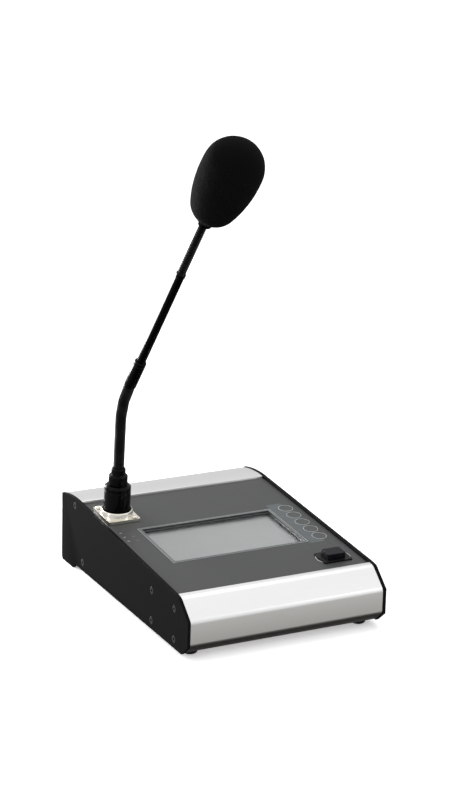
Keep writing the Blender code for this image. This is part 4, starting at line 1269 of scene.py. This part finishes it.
def housing():
    """The metal sleeve that holds the capsule, and the capsule's centre."""
    capsule = corners("microphone_capsule")
    capsule_centre = sum(capsule, Vector()) / len(capsule)
    start, end = ends_of("capsule_housing", HEAD_AXIS, capsule_centre)
    length = (end - start).length
    radius = girth("capsule_housing", HEAD_AXIS, start)
    pocket = girth("microphone_capsule", HEAD_AXIS, start) + CAPSULE_ROOM
    collar = radius - COLLAR_STEP
    profile = [
        (0, length - POCKET_DEPTH),
        (pocket, length - POCKET_DEPTH),
        (pocket, length),
        (radius - 0.3 * MM, length),
        (radius, length - 0.4 * MM),
        (radius, 6.7 * MM),
        (collar, 5.7 * MM),
        (collar, 2.9 * MM),
        (collar + 0.35 * MM, 2.5 * MM),
        (collar + 0.35 * MM, 0.8 * MM),
        (collar - 0.3 * MM, 0),
        (0, 0),
    ]
    profile = rounded(profile, 0.25 * MM)
    piece = turned("capsule_sleeve", profile, start, HEAD_AXIS, MICROPHONE_BLACK)
    fit(piece, "mic_head", "microphone_black", "capsule_housing")
    cover("microphone_capsule", STEEL)
    return capsule_centre


FOAM_TAPER = 4.3 * MM  # how much narrower its lower end is
FOAM_SIDE = 90 * MM  # radius of the curve between its two round ends
FOAM_BORE_DEPTH = 29 * MM
FOAM_PLAY = 0.4 * MM  # round the housing


def windscreen(centre):
    """Foam ball: two round ends joined smoothly by curved sides, with a bore for the housing."""
    start, end = ends_of("foam_windscreen", HEAD_AXIS, centre)
    length = (end - start).length
    broad = girth("foam_windscreen", HEAD_AXIS, start)
    narrow, bore = broad - FOAM_TAPER, girth("capsule_housing", HEAD_AXIS, start) + FOAM_PLAY
    low = narrow * math.sin(math.acos(bore / narrow))
    high = length - broad
    apart, to_narrow, to_broad = high - low, FOAM_SIDE - narrow, FOAM_SIDE - broad
    up = (to_narrow**2 - to_broad**2 + apart**2) / (2 * apart)
    out = math.sqrt(to_narrow**2 - up**2)
    meets_broad, meets_narrow = math.atan2(apart - up, out), math.atan2(-up, out)
    profile = [(0, length)]
    profile += arc((0, high), broad, math.pi / 2, meets_broad, 40)[1:]
    profile += arc((-out, low + up), FOAM_SIDE, meets_broad, meets_narrow, 24)[1:-1]
    profile += arc((0, low), narrow, meets_narrow, -math.acos(bore / narrow), 24)
    profile += [(bore + 0.1 * MM, 1.5 * MM), (bore, FOAM_BORE_DEPTH), (0, FOAM_BORE_DEPTH)]
    foam = turned("foam_ball", profile, start, HEAD_AXIS, FOAM, 160)
    roughen(foam, start)
    fit(foam, "windscreen", "foam", "foam_windscreen")


BORE_REACH = 6.5 * MM  # nearer the axis than this is the bore
FINE_BUMPS = (900, 0.12 * MM)  # per metre, and how high
BROAD_BUMPS = (110, 0.2 * MM)


def roughen(foam, start):
    """Makes the foam's skin slightly uneven, and leaves its bore as it is."""
    for vertex in foam.data.vertices:
        offset = vertex.co - start
        out = offset - HEAD_AXIS * offset.dot(HEAD_AXIS)
        if out.length < BORE_REACH:
            continue
        bumps = (FINE_BUMPS, BROAD_BUMPS)
        swell = sum(noise.noise(vertex.co * count) * height for count, height in bumps)
        vertex.co += out.normalized() * swell
    foam.data.shade_smooth()


# ---- Studio ----

AIM = Vector((0.00559, 0.00707, 0.14909))
VIEW_AZIMUTH = math.radians(-27.27)
VIEW_ELEVATION = math.radians(17.33)
VIEW_ROLL = math.radians(1.49)
VIEW_DISTANCE = 1.7143
VIEW_LENS = 104.55
SENSOR_WIDTH = 36
SKY_UNDER = 0.01  # the studio's light straight down, as a share of that at its horizon
SKY_LOW = 0.68  # its strength at the horizon
SKY_HIGH = 1.15  # and overhead
SKY_LEAN = -0.3  # how much stronger it is towards the front, which is -Y
DARK_BELOW = (-0.75, -0.25)  # the height over which it fades to dark, as the Z of a direction
FLOOR_HUE = (1.0, 0.95, 0.89)
PAPER_GLOW = 0.35


def camera():
    back = Vector(
        (
            math.sin(VIEW_AZIMUTH) * math.cos(VIEW_ELEVATION),
            -math.cos(VIEW_AZIMUTH) * math.cos(VIEW_ELEVATION),
            math.sin(VIEW_ELEVATION),
        )
    )
    right = Vector((math.cos(VIEW_AZIMUTH), math.sin(VIEW_AZIMUTH), 0))
    up = back.cross(right)
    level = Matrix((right, up, back)).transposed()
    data = bpy.data.cameras.new("camera")
    data.lens = VIEW_LENS
    data.sensor_width = SENSOR_WIDTH
    made = bpy.data.objects.new("camera", data)
    bpy.context.scene.collection.objects.link(made)
    turn = level @ Matrix.Rotation(VIEW_ROLL, 3, "Z")
    made.matrix_world = Matrix.Translation(AIM + back * VIEW_DISTANCE) @ turn.to_4x4()
    bpy.context.scene.camera = made


def softbox(name, place, target, size, power):
    data = bpy.data.lights.new(name, "AREA")
    data.shape = "RECTANGLE"
    data.size, data.size_y = size
    data.energy = power
    made = bpy.data.objects.new(name, data)
    bpy.context.scene.collection.objects.link(made)
    way = Vector(target) - Vector(place)
    turn = way.to_track_quat("-Z", "Y").to_matrix().to_4x4()
    made.matrix_world = Matrix.Translation(place) @ turn


def studio():
    """A pale floor under a soft light that is dark below, so that the metal shows its bends."""
    world = bpy.data.worlds.new("studio")
    world.use_nodes = True
    bpy.context.scene.world = world
    tree = world.node_tree
    place = tree.nodes.new("ShaderNodeTexCoord")
    parts = tree.nodes.new("ShaderNodeSeparateXYZ")
    wire(place, "Generated", parts, "Vector")
    height = math_node(tree, "MULTIPLY_ADD", (parts, "Y"), SKY_LEAN)
    wire(parts, "Z", height, 2)
    above = span(tree, (height, 0), SKY_LOW, SKY_HIGH)
    below = tree.nodes.new("ShaderNodeMapRange")
    below.inputs["From Min"].default_value, below.inputs["From Max"].default_value = DARK_BELOW
    below.inputs["To Min"].default_value = SKY_UNDER
    wire(parts, "Z", below, "Value")
    tint = ramp(tree, (below, "Result"), [(0.85, FLOOR_HUE), (1.0, (1, 1, 1))])
    wire(tint, "Color", tree.nodes["Background"], "Color")
    light = math_node(tree, "MULTIPLY", (above, "Result"), (below, "Result"))
    path = tree.nodes.new("ShaderNodeLightPath")
    white = math_node(tree, "MAXIMUM", (light, 0), (path, "Is Camera Ray"))
    wire(white, 0, tree.nodes["Background"], "Strength")
    bpy.context.scene.view_settings.view_transform = "Standard"
    floor_mesh = bmesh.new()
    bmesh.ops.create_grid(floor_mesh, x_segments=1, y_segments=1, size=60)
    paper = bpy.data.materials.new("studio_paper")
    paper.use_nodes = True
    shader = paper.node_tree.nodes["Principled BSDF"]
    shader.inputs["Base Color"].default_value = (0.9, 0.9, 0.9, 1)
    shader.inputs["Roughness"].default_value = 0.9
    shader.inputs["Emission Color"].default_value = (1, 1, 1, 1)
    shader.inputs["Emission Strength"].default_value = PAPER_GLOW
    floor = from_bmesh("studio_floor", floor_mesh, paper)
    floor.visible_glossy = False
    softbox("overhead", (0.1, 0.5, 1.6), (0, 0, 0), (1.6, 1.2), 6)
    softbox("left_strip", (-1.4, -0.07, 0.6), (0, 0, 0.15), (0.3, 1.2), 4)
    softbox("right_strip", (1.0, -0.93, 0.6), (0, 0, 0.15), (0.22, 1.2), 2.5)
    softbox("rear_left", (-0.3, 0.5, 0.2), (-0.08, 0.09, 0.03), (0.3, 0.2), 6)


# ---- The whole ----

camera()
casing()
side_screws()
feet()
jacks()
inlet()
plate_and_display()
prints()
function_keys()
talk_key()
socket()
plug()
gooseneck()
windscreen(housing())
cover("main_board", BOARD_GREEN)
cover("key_board", BOARD_GREEN)
cover("talk_switch", BLACK_MOULDED)
studio()
